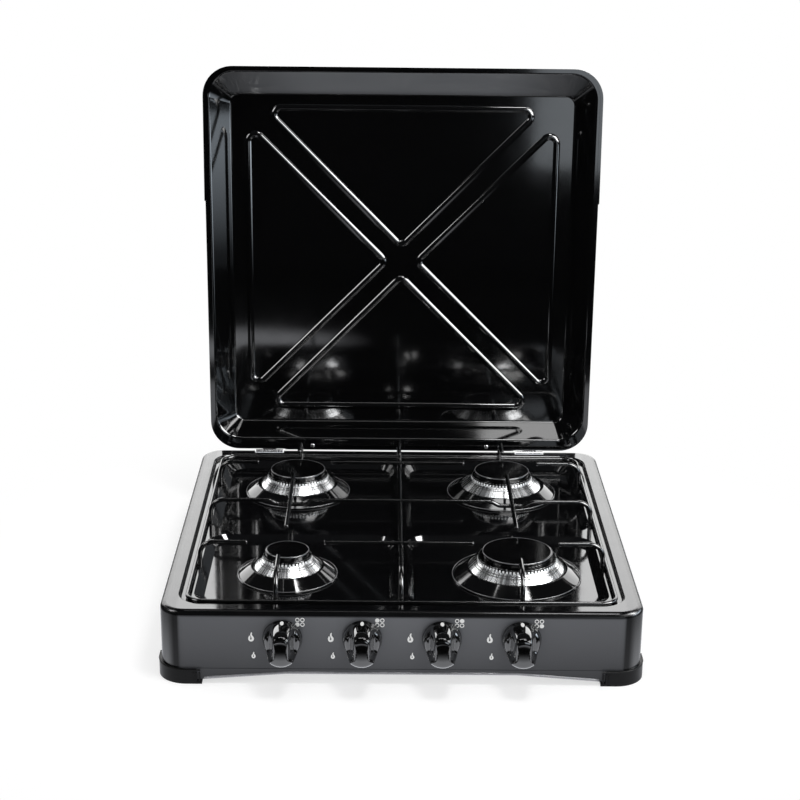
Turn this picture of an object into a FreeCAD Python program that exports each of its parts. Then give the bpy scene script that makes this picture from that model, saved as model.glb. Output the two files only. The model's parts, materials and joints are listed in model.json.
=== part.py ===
import FreeCAD, Part
import math
import os

import Sketcher

# Tabletop gas cooker with four burners, a bent wire pan support and a hinged lid that stands open.
# The origin is on the floor under the middle of the body. X is to the right, the knobs face -Y.

os.makedirs("parts", exist_ok=True)
doc = FreeCAD.newDocument("gas_cooker")
sheet = doc.addObject("Spreadsheet::Sheet", "Size")

# The driving sizes. Each one is a row of the sheet, under its own alias.
sizes = {
    # Body shell, pressed from one sheet
    "body_width": 500.0,
    "body_depth": 500.0,
    "rim_height": 81.0,
    "sheet_thickness": 0.8,
    "body_corner": 28.0,
    "rim_fillet": 6.0,
    "border_width": 19.0,
    "border_corner": 27.0,
    "border_fillet": 2.2,
    "ledge_drop": 4.0,
    "ledge_width": 13.0,
    "ledge_fillet": 1.3,
    "pool_drop": 7.0,
    "pool_slope": 10.0,
    "pool_corner": 25.0,
    "pool_floor_corner": 18.0,
    "rib_width": 13.5,
    "rib_slope": 6.0,
    "cross_rib_width": 13.0,
    "cross_rib_y": -24.0,
    "skirt_bottom": 4.5,
    "arch_height": 6.5,
    "arch_foot_inset": 45.0,
    "arch_run": 85.0,
    "skirt_step": 0.6,
    "skirt_step_height": 16.5,
    # Corner feet
    "foot_length": 41.0,
    "foot_wall": 2.25,
    "foot_height": 16.5,
    "foot_clearance": 0.15,
    "foot_sole": 2.5,
    "foot_sole_tab": 6.0,
    "foot_post_inset": 17.0,
    "foot_post_width": 12.0,
    # Pan support of bent wire
    "wire_diameter": 5.0,
    "rail_inset_x": 27.0,
    "rail_inset_y": 27.0,
    "rail_corner": 17.0,
    "rail_clearance": 0.3,
    "weld_gap": 0.1,
    "grid_height": 107.0,
    "finger_bend": 15.0,
    "end_finger_bend": 24.0,
    "wire_dip_bend": 12.0,
    "riser_below_rail": 2.0,
    "centre_wire_x": -1.0,
    "centre_dip_reach": 21.0,
    "dip_run": 9.0,
    "cross_bar_inset": 123.0,
    "cross_bar_front": -83.0,
    "cross_bar_rear": 87.0,
    "cross_dip_half": 14.0,
    "mid_bar_left": -84.0,
    "mid_bar_right": 78.0,
    "wire_tip_fillet": 1.5,
    # Burners: insets from the sides of the body, and radii of cap, flame ring, flange and collar
    "front_left_inset_x": 126.6,
    "front_left_inset_y": 123.0,
    "front_left_cap": 23.75,
    "front_left_ring": 26.0,
    "front_left_flange": 36.8,
    "front_left_collar": 54.0,
    "front_right_inset_x": 124.8,
    "front_right_inset_y": 123.0,
    "front_right_cap": 38.1,
    "front_right_ring": 42.35,
    "front_right_flange": 52.1,
    "front_right_collar": 70.0,
    "rear_left_inset_x": 126.0,
    "rear_left_inset_y": 121.0,
    "rear_left_cap": 33.0,
    "rear_left_ring": 35.85,
    "rear_left_flange": 45.2,
    "rear_left_collar": 62.7,
    "rear_right_inset_x": 126.5,
    "rear_right_inset_y": 121.0,
    "rear_right_cap": 33.15,
    "rear_right_ring": 35.9,
    "rear_right_flange": 48.5,
    "rear_right_collar": 65.5,
    # Fingers of the pan support, measured from its rail
    "front_left_finger": 43.1,
    "front_right_finger": 43.8,
    "rear_left_finger": 47.0,
    "rear_right_finger": 41.5,
    "front_left_end_finger": 38.0,
    "front_right_end_finger": 43.5,
    "rear_end_finger": 37.0,
    "front_left_finger_inset": 119.0,
    "rear_right_finger_inset": 124.0,
    # Pieces that all four burners share
    "ring_seat_height": 89.0,
    "ring_height": 4.0,
    "cap_height": 6.3,
    "flange_drop": 10.2,
    "flange_thickness": 1.8,
    "cup_bottom": 42.0,
    "cup_wall": 2.0,
    "cup_radius": 20.0,
    "cup_clearance": 0.4,
    "cup_seat_radius": 30.0,
    "cup_seat_top": 74.5,
    "cup_neck_radius": 24.0,
    "collar_top": 80.8,
    "collar_sheet": 1.0,
    "collar_lip": 1.7,
    "collar_gap": 0.3,
    "ring_wall": 8.0,
    "ring_spigot_depth": 6.0,
    "ring_spigot_wall": 2.5,
    "spigot_clearance": 0.15,
    "tooth_depth": 3.0,
    "tooth_gap": 1.7,
    "tooth_pitch": 5.0,
    "cap_fillet": 2.2,
    "cap_spigot_depth": 3.0,
    "burner_screw_radius": 2.0,
    "burner_screw_head": 3.6,
    "burner_screw_head_height": 2.4,
    "burner_screw_circle": 25.5,
    "burner_screw_bite": 2.5,
    # Taps and knobs
    "knob_pitch": 81.6,
    "knob_height": 53.0,
    "knob_flange_radius": 20.5,
    "knob_flange_thickness": 3.0,
    "knob_shoulder_radius": 15.5,
    "knob_shoulder_height": 5.5,
    "knob_grip_width": 16.7,
    "knob_grip_length": 34.8,
    "knob_grip_corner": 7.5,
    "knob_reach": 35.5,
    "knob_fillet": 4.0,
    "push_travel": 2.5,
    "push_clearance": 0.5,
    "knob_edge_fillet": 1.2,
    "spindle_radius": 4.0,
    "spindle_flat": 2.9,
    "spindle_grip": 15.0,
    "spindle_depth": 26.0,
    "running_gap": 0.05,
    "panel_hole_radius": 5.5,
    "bonnet_hole_radius": 4.6,
    "bonnet_thickness": 2.0,
    "tap_front_gap": 4.0,
    "tap_length": 39.0,
    "tap_radius": 11.0,
    "plug_radius": 7.95,
    "plug_length": 26.0,
    "plug_end_gap": 0.5,
    "gas_port_radius": 2.5,
    "outlet_radius": 1.6,
    "saddle_width": 18.0,
    "injector_thread": 3.0,
    "injector_thread_length": 5.0,
    "injector_head": 4.6,
    "injector_length": 6.0,
    "injector_orifice": 0.4,
    # Gas rail, pipes and inlet
    "rail_y_inset": 25.0,
    "gas_rail_height": 33.0,
    "gas_rail_radius": 7.0,
    "feed_pipe_radius": 5.0,
    "pipe_wall": 1.0,
    "gas_rail_left_inset": 85.0,
    "gas_rail_right_inset": 80.0,
    "feed_insert": 10.0,
    "feed_inset": 45.0,
    "feed_bend": 20.0,
    "strap_thickness": 1.5,
    "strap_width": 12.0,
    "strap_gap": 1.0,
    "tube_height": 52.0,
    "tube_radius": 9.0,
    "tube_wall": 1.0,
    "tube_mouth_gap": 4.0,
    "tube_insert": 3.5,
    "tube_bend": 32.0,
    "bracket_thickness": 1.5,
    "bracket_width": 16.0,
    "rail_bracket_top": 46.0,
    "rail_bracket_reach": 9.0,
    "mouth_plate_inset": 67.0,
    "mouth_plate_side": 17.6,
    "mouth_plate_bottom": 39.0,
    "mouth_plate_flange": 12.0,
    "hanger_y": 20.0,
    "hanger_width": 20.0,
    "hanger_gap": 1.0,
    "hanger_flange": 14.0,
    "inlet_thread_radius": 10.4775,
    "inlet_length": 22.0,
    "inlet_flange_radius": 15.0,
    "inlet_flange_thickness": 5.2,
    "inlet_socket_radius": 8.5,
    "inlet_socket_length": 12.0,
    "inlet_bore": 4.0,
    "inlet_hole_gap": 0.3,
    "inlet_nut_flats": 28.0,
    "inlet_nut_height": 6.0,
    "inlet_groove_width": 1.0,
    "inlet_groove_depth": 1.0,
    # Lid and its hinges
    "lid_side_gap": 10.0,
    "lid_end_gap": 20.0,
    "lid_corner": 36.0,
    "lid_lean": 1.0,
    "lid_flange_side": 7.5,
    "lid_flange_front": 6.2,
    "lid_flange_rear": 14.2,
    "lid_slope_side": 22.0,
    "lid_slope_front": 30.0,
    "lid_slope_rear": 14.3,
    "lid_height": 32.0,
    "lid_fold_corner": 31.0,
    "lid_panel_corner": 12.0,
    "lid_fold_radius": 3.0,
    "lid_panel_radius": 3.0,
    "lid_hem_flare": 1.2,
    "lid_hem_width": 3.7,
    "lid_hem_length": 162.0,
    "lid_hem_end": 0.8,
    "lid_thickness": 0.8,
    "bead_shift": -2.1,
    "bead_inset": 50.5,
    "bead_end_inset": 70.5,
    "bead_apex": 19.0,
    "bead_radius": 5.5,
    "bead_height": 2.0,
    "bead_corner": 9.0,
    "hinge_y_inset": 6.5,
    "hinge_above_rim": -0.5,
    "hinge_inset_x": 84.0,
    "hinge_length": 34.0,
    "knuckle_length": 17.4,
    "knuckle_gap": 0.3,
    "knuckle_radius": 2.6,
    "pin_radius": 1.25,
    "lid_edge_from_pin": 2.6,
    "lid_face_from_pin": 2.8,
    "leaf_thickness": 1.2,
    "leaf_height": 11.5,
    "leaf_beyond_rivet": 11.0,
    "rivet_from_hinge": 55.0,
    "rivet_from_pin": 7.3,
    "rivet_radius": 1.6,
    "rivet_head_radius": 2.6,
    "rivet_head_height": 1.2,
    "hinge_notch_depth": 6.5,
    "hinge_notch_gap": 1.5,
    "hinge_plate_drop": 22.0,
}


class Length:
    """A number together with the sheet expression that gives it."""

    def __init__(self, text, number):
        self.text = text
        self.number = float(number)

    def joined(self, sign, other, number):
        right = other.text if isinstance(other, Length) else repr(float(other))
        return Length("(%s %s %s)" % (self.text, sign, right), number)

    def __add__(self, other):
        return self.joined("+", other, self.number + float(other))

    def __sub__(self, other):
        return self.joined("-", other, self.number - float(other))

    def __mul__(self, other):
        return self.joined("*", other, self.number * float(other))

    def __truediv__(self, other):
        return self.joined("/", other, self.number / float(other))

    def __rmul__(self, other):
        return self * other

    def __neg__(self):
        return self * -1

    def __float__(self):
        return self.number


class Sizes:
    """The sizes as lengths, by name."""

    def __init__(self, table):
        for row, (name, number) in enumerate(table.items(), start=1):
            sheet.set("A%d" % row, name)
            sheet.set("B%d" % row, str(number))
            sheet.setAlias("B%d" % row, name)
            setattr(self, name, Length("Size.%s" % name, number))


S = Sizes(sizes)


def new_body(name):
    body = doc.addObject("PartDesign::Body", name)
    body.Label = name
    return body


def new_sketch(body, plane, lift=None):
    """A sketch on one of the body's own origin planes, moved along the plane's normal."""
    sketch = body.newObject("Sketcher::SketchObject", body.Name + "_sketch")
    for feature in body.Origin.OriginFeatures:
        if feature.Role == plane:
            sketch.AttachmentSupport = (feature, [""])
    sketch.MapMode = "FlatFace"
    if lift is not None:
        sketch.setExpression("AttachmentOffset.Base.z", lift.text)
    return sketch


def bind_constraint(sketch, kind, items, length):
    index = sketch.addConstraint(Sketcher.Constraint(kind, *items, float(length)))
    sketch.setExpression("Constraints[%d]" % index, length.text)


def fix_point(sketch, geometry, end, x, y):
    """Holds a point at x, y. A plain 0 puts it on the axis."""
    if isinstance(x, Length):
        bind_constraint(sketch, "DistanceX", (geometry, end), x)
    else:
        sketch.addConstraint(Sketcher.Constraint("PointOnObject", geometry, end, -2))
    if isinstance(y, Length):
        bind_constraint(sketch, "DistanceY", (geometry, end), y)
    else:
        sketch.addConstraint(Sketcher.Constraint("PointOnObject", geometry, end, -1))


def vector(point):
    return FreeCAD.Vector(float(point[0]), float(point[1]), 0)


def draw_polygon(sketch, points, closed=True, helper=False):
    """Straight lines through the points, each point bound to its two lengths."""
    count = len(points)
    last = count if closed else count - 1
    corners = [vector(point) for point in points]
    lines = [Part.LineSegment(corners[i], corners[(i + 1) % count]) for i in range(last)]
    names = sketch.addGeometry(lines, helper)
    for i in range(last if closed else last - 1):
        joint = Sketcher.Constraint("Coincident", names[i], 2, names[(i + 1) % last], 1)
        sketch.addConstraint(joint)
    for i in range(last):
        fix_point(sketch, names[i], 1, points[i][0], points[i][1])
    if not closed:
        fix_point(sketch, names[-1], 2, points[-1][0], points[-1][1])
    return names


def draw_circle(sketch, radius, x=0, y=0):
    circle = Part.Circle(vector((x, y)), FreeCAD.Vector(0, 0, 1), float(radius))
    name = sketch.addGeometry(circle, False)
    fix_point(sketch, name, 3, x, y)
    bind_constraint(sketch, "Radius", (name,), radius)


def draw_rounded(sketch, left, right, low, high, radius):
    """A rectangle with four equal rounded corners."""
    x0, x1, y0, y1, r = [float(item) for item in (left, right, low, high, radius)]
    normal = FreeCAD.Vector(0, 0, 1)
    spans = [
        ((x0 + r, y0), (x1 - r, y0), (x1 - r, y0 + r), -90),
        ((x1, y0 + r), (x1, y1 - r), (x1 - r, y1 - r), 0),
        ((x1 - r, y1), (x0 + r, y1), (x0 + r, y1 - r), 90),
        ((x0, y1 - r), (x0, y0 + r), (x0 + r, y0 + r), 180),
    ]
    lines = []
    arcs = []
    for start, end, centre, angle in spans:
        lines.append(sketch.addGeometry(Part.LineSegment(vector(start), vector(end)), False))
        circle = Part.Circle(vector(centre), normal, r)
        turn = (math.radians(angle), math.radians(angle + 90))
        arcs.append(sketch.addGeometry(Part.ArcOfCircle(circle, *turn), False))
    for i in range(4):
        sketch.addConstraint(Sketcher.Constraint("Tangent", lines[i], 2, arcs[i], 1))
        sketch.addConstraint(Sketcher.Constraint("Tangent", arcs[i], 2, lines[(i + 1) % 4], 1))
        kind = "Vertical" if i % 2 else "Horizontal"
        sketch.addConstraint(Sketcher.Constraint(kind, lines[i]))
    for i in range(3):
        sketch.addConstraint(Sketcher.Constraint("Equal", arcs[i], arcs[i + 1]))
    bind_constraint(sketch, "Radius", (arcs[0],), radius)
    bind_constraint(sketch, "DistanceY", (lines[0], 1), low)
    bind_constraint(sketch, "DistanceX", (lines[1], 1), right)
    bind_constraint(sketch, "DistanceY", (lines[2], 1), high)
    bind_constraint(sketch, "DistanceX", (lines[3], 1), left)


def draw_path(sketch, points, radii, closed=False):
    """A line through the points with tangent arcs. The sharp corners stay as helper lines."""
    count = len(points)
    guides = draw_polygon(sketch, points, closed, True)
    corners = [vector(point) for point in points]
    turns = {}
    for i in range(count):
        if not closed and i in (0, count - 1):
            continue
        back = (corners[i - 1] - corners[i]).normalize()
        ahead = (corners[(i + 1) % count] - corners[i]).normalize()
        half = back.getAngle(ahead) / 2
        reach = float(radii[i]) / math.tan(half)
        middle = (back + ahead).normalize()
        centre = corners[i] + middle * (float(radii[i]) / math.sin(half))
        turns[i] = (corners[i] + back * reach, corners[i] + ahead * reach, centre)
    names = []
    lines = []
    for i in range(len(guides)):
        start = turns[i][1] if i in turns else corners[i]
        following = (i + 1) % count
        end = turns[following][0] if following in turns else corners[following]
        lines.append(sketch.addGeometry(Part.LineSegment(start, end), False))
        names.append(lines[-1])
        for side, corner in ((1, i), (2, following)):
            if corner in turns:
                hold = Sketcher.Constraint("PointOnObject", lines[-1], side, guides[i])
            else:
                hold = Sketcher.Constraint("Coincident", lines[-1], side, guides[i], side)
            sketch.addConstraint(hold)
    for i, (start, end, centre) in turns.items():
        radius = float(radii[i])
        first = math.atan2(start.y - centre.y, start.x - centre.x)
        second = math.atan2(end.y - centre.y, end.x - centre.x)
        turned_left = (start - centre).cross(end - centre).z > 0
        before = lines[i - 1]
        after = lines[i % len(lines)]
        circle = Part.Circle(centre, FreeCAD.Vector(0, 0, 1), radius)
        if turned_left:
            arc = sketch.addGeometry(Part.ArcOfCircle(circle, first, second), False)
            sides = (1, 2)
        else:
            arc = sketch.addGeometry(Part.ArcOfCircle(circle, second, first), False)
            sides = (2, 1)
        sketch.addConstraint(Sketcher.Constraint("Tangent", before, 2, arc, sides[0]))
        sketch.addConstraint(Sketcher.Constraint("Tangent", after, 1, arc, sides[1]))
        bind_constraint(sketch, "Radius", (arc,), radii[i])


def set_length(feature, name, length):
    setattr(feature, name, float(length))
    feature.setExpression(name, length.text)


def add_pad(body, sketch, length, flipped=False, midplane=False):
    pad = body.newObject("PartDesign::Pad", body.Name + "_pad")
    pad.Profile = sketch
    set_length(pad, "Length", length)
    pad.Reversed = flipped
    pad.Midplane = midplane
    sketch.Visibility = False
    doc.recompute()
    return pad


def add_pocket(body, sketch, length, flipped=False, midplane=False):
    """Cuts against the sketch's normal, or along it when flipped, and checks that it cut."""
    before = body.Shape.Volume
    pocket = body.newObject("PartDesign::Pocket", body.Name + "_pocket")
    pocket.Profile = sketch
    set_length(pocket, "Length", length)
    pocket.Reversed = flipped
    pocket.Midplane = midplane
    sketch.Visibility = False
    doc.recompute()
    if body.Shape.Volume >= before:
        raise ValueError("a pocket in %s removed nothing" % body.Name)
    return pocket


def add_turned(body, points, plane="XZ_Plane", cut=False):
    """Turns a closed outline, given as radius and height, about the plane's vertical axis."""
    sketch = new_sketch(body, plane)
    draw_polygon(sketch, points)
    kind = "PartDesign::Groove" if cut else "PartDesign::Revolution"
    before = body.Shape.Volume if cut else 0
    turned = body.newObject(kind, body.Name + "_turned")
    turned.Profile = sketch
    turned.ReferenceAxis = (sketch, ["V_Axis"])
    turned.Angle = 360
    sketch.Visibility = False
    doc.recompute()
    if cut and body.Shape.Volume >= before:
        raise ValueError("a groove in %s removed nothing" % body.Name)
    return turned


def add_loft(body, first, second, cut=False):
    kind = "PartDesign::SubtractiveLoft" if cut else "PartDesign::AdditiveLoft"
    loft = body.newObject(kind, body.Name + "_loft")
    loft.Profile = first
    loft.Sections = [second]
    loft.Ruled = True
    first.Visibility = False
    second.Visibility = False
    doc.recompute()
    return loft


def add_pipe(body, profile, path, cut=False):
    kind = "PartDesign::SubtractivePipe" if cut else "PartDesign::AdditivePipe"
    pipe = body.newObject(kind, body.Name + "_pipe")
    pipe.Profile = profile
    pipe.Spine = (path, ["Edge%d" % (i + 1) for i in range(len(path.Shape.Edges))])
    profile.Visibility = False
    path.Visibility = False
    doc.recompute()
    return pipe


def add_fillet(body, radius, wanted):
    """Rounds the edges of the body that the test picks."""
    base = body.Tip
    names = ["Edge%d" % (i + 1) for i, edge in enumerate(base.Shape.Edges) if wanted(edge)]
    if not names:
        raise ValueError("no edge to round in %s" % body.Name)
    fillet = body.newObject("PartDesign::Fillet", body.Name + "_fillet")
    fillet.Base = (base, names)
    set_length(fillet, "Radius", radius)
    doc.recompute()
    return fillet


def flat_at(edge, height, reach_x=None, reach_y=None):
    """True for an edge that lies at a height, and inside a rectangle about the Z axis."""
    box = edge.BoundBox
    if abs(box.ZMin - float(height)) > 0.01 or abs(box.ZMax - float(height)) > 0.01:
        return False
    if reach_x is not None and max(-box.XMin, box.XMax) > float(reach_x) + 0.01:
        return False
    if reach_y is not None and max(-box.YMin, box.YMax) > float(reach_y) + 0.01:
        return False
    return True


def round_edge_at(edge, radius, centre):
    """True for a circular edge with this radius about this centre."""
    curve = edge.Curve
    if not isinstance(curve, Part.Circle):
        return False
    near = curve.Center.distanceToPoint(centre) < 0.01
    return near and abs(curve.Radius - float(radius)) < 0.01


def bind_place(item, x=None, y=None, z=None):
    for axis, length in (("x", x), ("y", y), ("z", z)):
        if isinstance(length, Length):
            item.setExpression("Placement.Base.%s" % axis, length.text)


def join(kind, label, first, second):
    result = doc.addObject(kind, label)
    result.Label = label
    result.Base = first
    result.Tool = second
    first.Visibility = False
    second.Visibility = False
    return result


def group(label, items):
    result = doc.addObject("Part::Compound", label)
    result.Label = label
    result.Links = items
    for item in items:
        item.Visibility = False
    return result


def slope_shift(skin, run, drop):
    """How far a sloped wall's corners move out when its sheet gets this thick."""
    span = Length("sqrt(%s ^ 2 + %s ^ 2)" % (run.text, drop.text), math.hypot(run.number, drop.number))
    return skin * drop / (span + run)


subparts = []
half_width = S.body_width / 2
half_depth = S.body_depth / 2
ledge_height = S.rim_height - S.ledge_drop
floor_height = ledge_height - S.pool_drop
floor_underside = floor_height - S.sheet_thickness
none = S.sheet_thickness * 0
knob_columns = (-1.5, -0.5, 0.5, 1.5)
rail_x = half_width - S.rail_inset_x
rail_y = half_depth - S.rail_inset_y
ring_top = S.ring_seat_height + S.ring_height
cap_top = ring_top + S.cap_height
flange_edge = S.ring_seat_height - S.flange_drop
feed_x = half_width - S.feed_inset
feed_y = -half_depth + S.rail_y_inset
gas_rail_right = half_width - S.gas_rail_right_inset
hinge_x = half_width - S.hinge_inset_x
rivet_x = hinge_x - S.rivet_from_hinge
lid_width = S.body_width - S.lid_side_gap * 2
lid_depth = S.body_depth - S.lid_end_gap


class Burner:
    """One burner's named sizes, and where its mixing tube comes in."""

    def __init__(self, name, knob, from_front):
        self.name = name
        self.knob_x = S.knob_pitch * knob_columns[knob]
        self.from_front = from_front
        inset_x = getattr(S, name + "_inset_x")
        inset_y = getattr(S, name + "_inset_y")
        self.x = inset_x - half_width if name.endswith("left") else half_width - inset_x
        self.y = inset_y - half_depth if from_front else half_depth - inset_y
        for item in ("cap", "ring", "flange", "collar"):
            setattr(self, item, getattr(S, "%s_%s" % (name, item)))


burners = [
    Burner("front_left", 0, True),
    Burner("rear_left", 1, False),
    Burner("rear_right", 2, False),
    Burner("front_right", 3, True),
]
front_left, rear_left, rear_right, front_right = burners


def cut_pools(body, skin):
    """Four sunk pools with sloped walls, and the two ribs left between them."""
    outer = slope_shift(skin, S.pool_slope, S.pool_drop)
    inner = slope_shift(skin, S.rib_slope, S.pool_drop)
    reach_x = half_width - S.border_width - S.ledge_width + outer
    reach_y = half_depth - S.border_width - S.ledge_width + outer
    near_x = S.rib_width / 2 - inner
    rib_front = S.cross_rib_y - S.cross_rib_width / 2 + inner
    rib_rear = S.cross_rib_y + S.cross_rib_width / 2 - inner
    for side in (-1, 1):
        for low, high, low_run, high_run in (
            (-reach_y, rib_front, S.pool_slope, S.rib_slope),
            (rib_rear, reach_y, S.rib_slope, S.pool_slope),
        ):
            outlines = []
            for step, lift, corner in (
                (0, ledge_height - skin, S.pool_corner),
                (1, floor_height - skin, S.pool_floor_corner),
            ):
                ends = (near_x + S.rib_slope * step, reach_x - S.pool_slope * step)
                if side < 0:
                    ends = (-ends[1], -ends[0])
                sketch = new_sketch(body, "XY_Plane", lift)
                low_edge = low + low_run * step
                high_edge = high - high_run * step
                draw_rounded(sketch, ends[0], ends[1], low_edge, high_edge, corner + outer)
                outlines.append(sketch)
            doc.recompute()
            add_loft(body, outlines[0], outlines[1], cut=True)


def shell_solid(name, skin, bottom):
    """The body as a solid block. The shell is the outer block less one that is a sheet smaller."""
    body = new_body(name)
    top = S.rim_height - skin
    sketch = new_sketch(body, "XY_Plane", bottom)
    x = half_width - skin
    y = half_depth - skin
    draw_rounded(sketch, -x, x, -y, y, S.body_corner - skin)
    add_pad(body, sketch, top - bottom)
    add_fillet(body, S.rim_fillet - skin, lambda edge: flat_at(edge, top))
    sketch = new_sketch(body, "XY_Plane", bottom)
    x = x + S.skirt_step
    y = y + S.skirt_step
    draw_rounded(sketch, -x, x, -y, y, S.body_corner + S.skirt_step - skin)
    add_pad(body, sketch, S.skirt_step_height - skin - bottom)
    sketch = new_sketch(body, "XY_Plane", top)
    x = half_width - S.border_width + skin
    y = half_depth - S.border_width + skin
    draw_rounded(sketch, -x, x, -y, y, S.border_corner + skin)
    add_pocket(body, sketch, S.ledge_drop)
    add_fillet(body, S.border_fillet - skin, lambda edge: flat_at(edge, top, x, y))
    add_fillet(body, S.ledge_fillet + skin, lambda edge: flat_at(edge, ledge_height - skin))
    cut_pools(body, skin)
    return body


def make_body_shell():
    outer = shell_solid("shell_outer_block", none, S.skirt_bottom)
    inner = shell_solid("shell_inner_block", S.sheet_thickness, S.skirt_bottom - S.pool_drop)
    # holes of the burner cups and of their screws
    sketch = new_sketch(outer, "XY_Plane", floor_height)
    for burner in burners:
        draw_circle(sketch, S.cup_radius + S.cup_clearance, burner.x, burner.y)
        for side in (-1, 1):
            screw_x = burner.x + S.burner_screw_circle * side
            draw_circle(sketch, S.burner_screw_radius, screw_x, burner.y)
    add_pocket(outer, sketch, S.pool_drop)
    # holes of the spindles in the front panel
    sketch = new_sketch(outer, "XZ_Plane", half_depth)
    for column in knob_columns:
        draw_circle(sketch, S.panel_hole_radius, S.knob_pitch * column, S.knob_height)
    add_pocket(outer, sketch, S.border_width)
    # hole of the gas inlet in the rear skirt
    sketch = new_sketch(outer, "XZ_Plane", -half_depth)
    draw_circle(sketch, S.inlet_thread_radius + S.inlet_hole_gap, feed_x, S.gas_rail_height)
    add_pocket(outer, sketch, S.border_width, flipped=True)
    # notches of the hinges in the rear rim
    for side in (-1, 1):
        sketch = new_sketch(outer, "XY_Plane", S.rim_height)
        half = S.hinge_length / 2 + S.hinge_notch_gap
        left = hinge_x * side - half
        right = hinge_x * side + half
        front = half_depth - S.hinge_y_inset - S.hinge_notch_depth
        rear = half_depth + S.skirt_step
        draw_polygon(sketch, [(left, front), (right, front), (right, rear), (left, rear)])
        add_pocket(outer, sketch, S.hinge_notch_depth)
    # arched lower edge, the same on all four skirts
    for plane, half, far in (
        ("XZ_Plane", half_width, S.body_depth),
        ("YZ_Plane", half_depth, S.body_width),
    ):
        sketch = new_sketch(outer, plane)
        low = S.skirt_bottom - S.sheet_thickness
        top = S.skirt_bottom + S.arch_height
        foot = half - S.arch_foot_inset
        knee = foot - S.arch_run
        outline = [(-foot, low), (foot, low), (foot, S.skirt_bottom)]
        outline += [(knee, top), (-knee, top), (-foot, S.skirt_bottom)]
        draw_polygon(sketch, outline)
        add_pocket(outer, sketch, far + S.border_width, midplane=True)
    return join("Part::Cut", "body_shell", outer, inner)


subparts.append(make_body_shell())


def make_feet():
    block = new_body("foot_block")
    wall = S.skirt_step + S.foot_clearance
    x = half_width + wall
    y = half_depth + wall
    sketch = new_sketch(block, "XY_Plane")
    edge = S.foot_wall
    draw_rounded(sketch, -x - edge, x + edge, -y - edge, y + edge, S.body_corner + wall + edge)
    add_pad(block, sketch, S.foot_height)
    add_fillet(block, S.foot_wall / 2, lambda item: flat_at(item, S.foot_height))
    sketch = new_sketch(block, "XY_Plane", S.foot_height)
    draw_rounded(sketch, -x, x, -y, y, S.body_corner + wall)
    add_pocket(block, sketch, S.foot_height - S.skirt_bottom)
    feet = []
    for depth_name, side_y in (("front", -1), ("rear", 1)):
        for width_name, side_x in (("left", -1), ("right", 1)):
            label = "foot_%s_%s" % (depth_name, width_name)
            boxes = []
            outer_x = x + edge
            outer_y = y + edge
            for part, length, low, height in (
                ("shoe", S.foot_length, none, S.foot_height),
                ("sole", S.foot_length + S.foot_sole_tab, none, S.foot_sole),
                ("post", S.foot_post_width, S.foot_sole, S.foot_height - S.foot_sole),
            ):
                box = doc.addObject("Part::Box", "%s_%s" % (label, part))
                inset = S.foot_post_inset if part == "post" else none
                set_length(box, "Length", length)
                set_length(box, "Width", length)
                set_length(box, "Height", height)
                box_x = outer_x - length - inset if side_x > 0 else inset - outer_x
                box_y = outer_y - length - inset if side_y > 0 else inset - outer_y
                bind_place(box, box_x, box_y, low)
                boxes.append(box)
            reach = join("Part::Fuse", label + "_reach", boxes[0], boxes[1])
            shoe = join("Part::Common", label + "_shoe_and_sole", block, reach)
            feet.append(join("Part::Fuse", label, shoe, boxes[2]))
    return feet


subparts += make_feet()


def make_collar(burner):
    """A hollow pressed ring: the sloped outside, the lip, the inner wall and a clamped foot."""
    body = new_body("burner_collar_" + burner.name)
    sheet_metal = S.collar_sheet
    wall = burner.flange + S.collar_gap
    foot = S.cup_radius + S.cup_clearance
    lip = wall + sheet_metal + S.collar_lip
    points = [
        (burner.collar, floor_height),
        (lip, S.collar_top),
        (wall, S.collar_top),
        (wall, floor_height + sheet_metal),
        (foot, floor_height + sheet_metal),
        (foot, floor_height),
        (wall + sheet_metal, floor_height),
        (wall + sheet_metal, S.collar_top - sheet_metal),
        (lip - sheet_metal / 2, S.collar_top - sheet_metal),
        (burner.collar - sheet_metal * 1.8, floor_height),
    ]
    add_turned(body, points)
    add_fillet(body, sheet_metal / 2, lambda edge: flat_at(edge, S.collar_top))
    sketch = new_sketch(body, "XY_Plane", floor_height + sheet_metal)
    for side in (-1, 1):
        draw_circle(sketch, S.burner_screw_radius, S.burner_screw_circle * side, 0)
    add_pocket(body, sketch, sheet_metal)
    bind_place(body, burner.x, burner.y)
    return body


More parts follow.
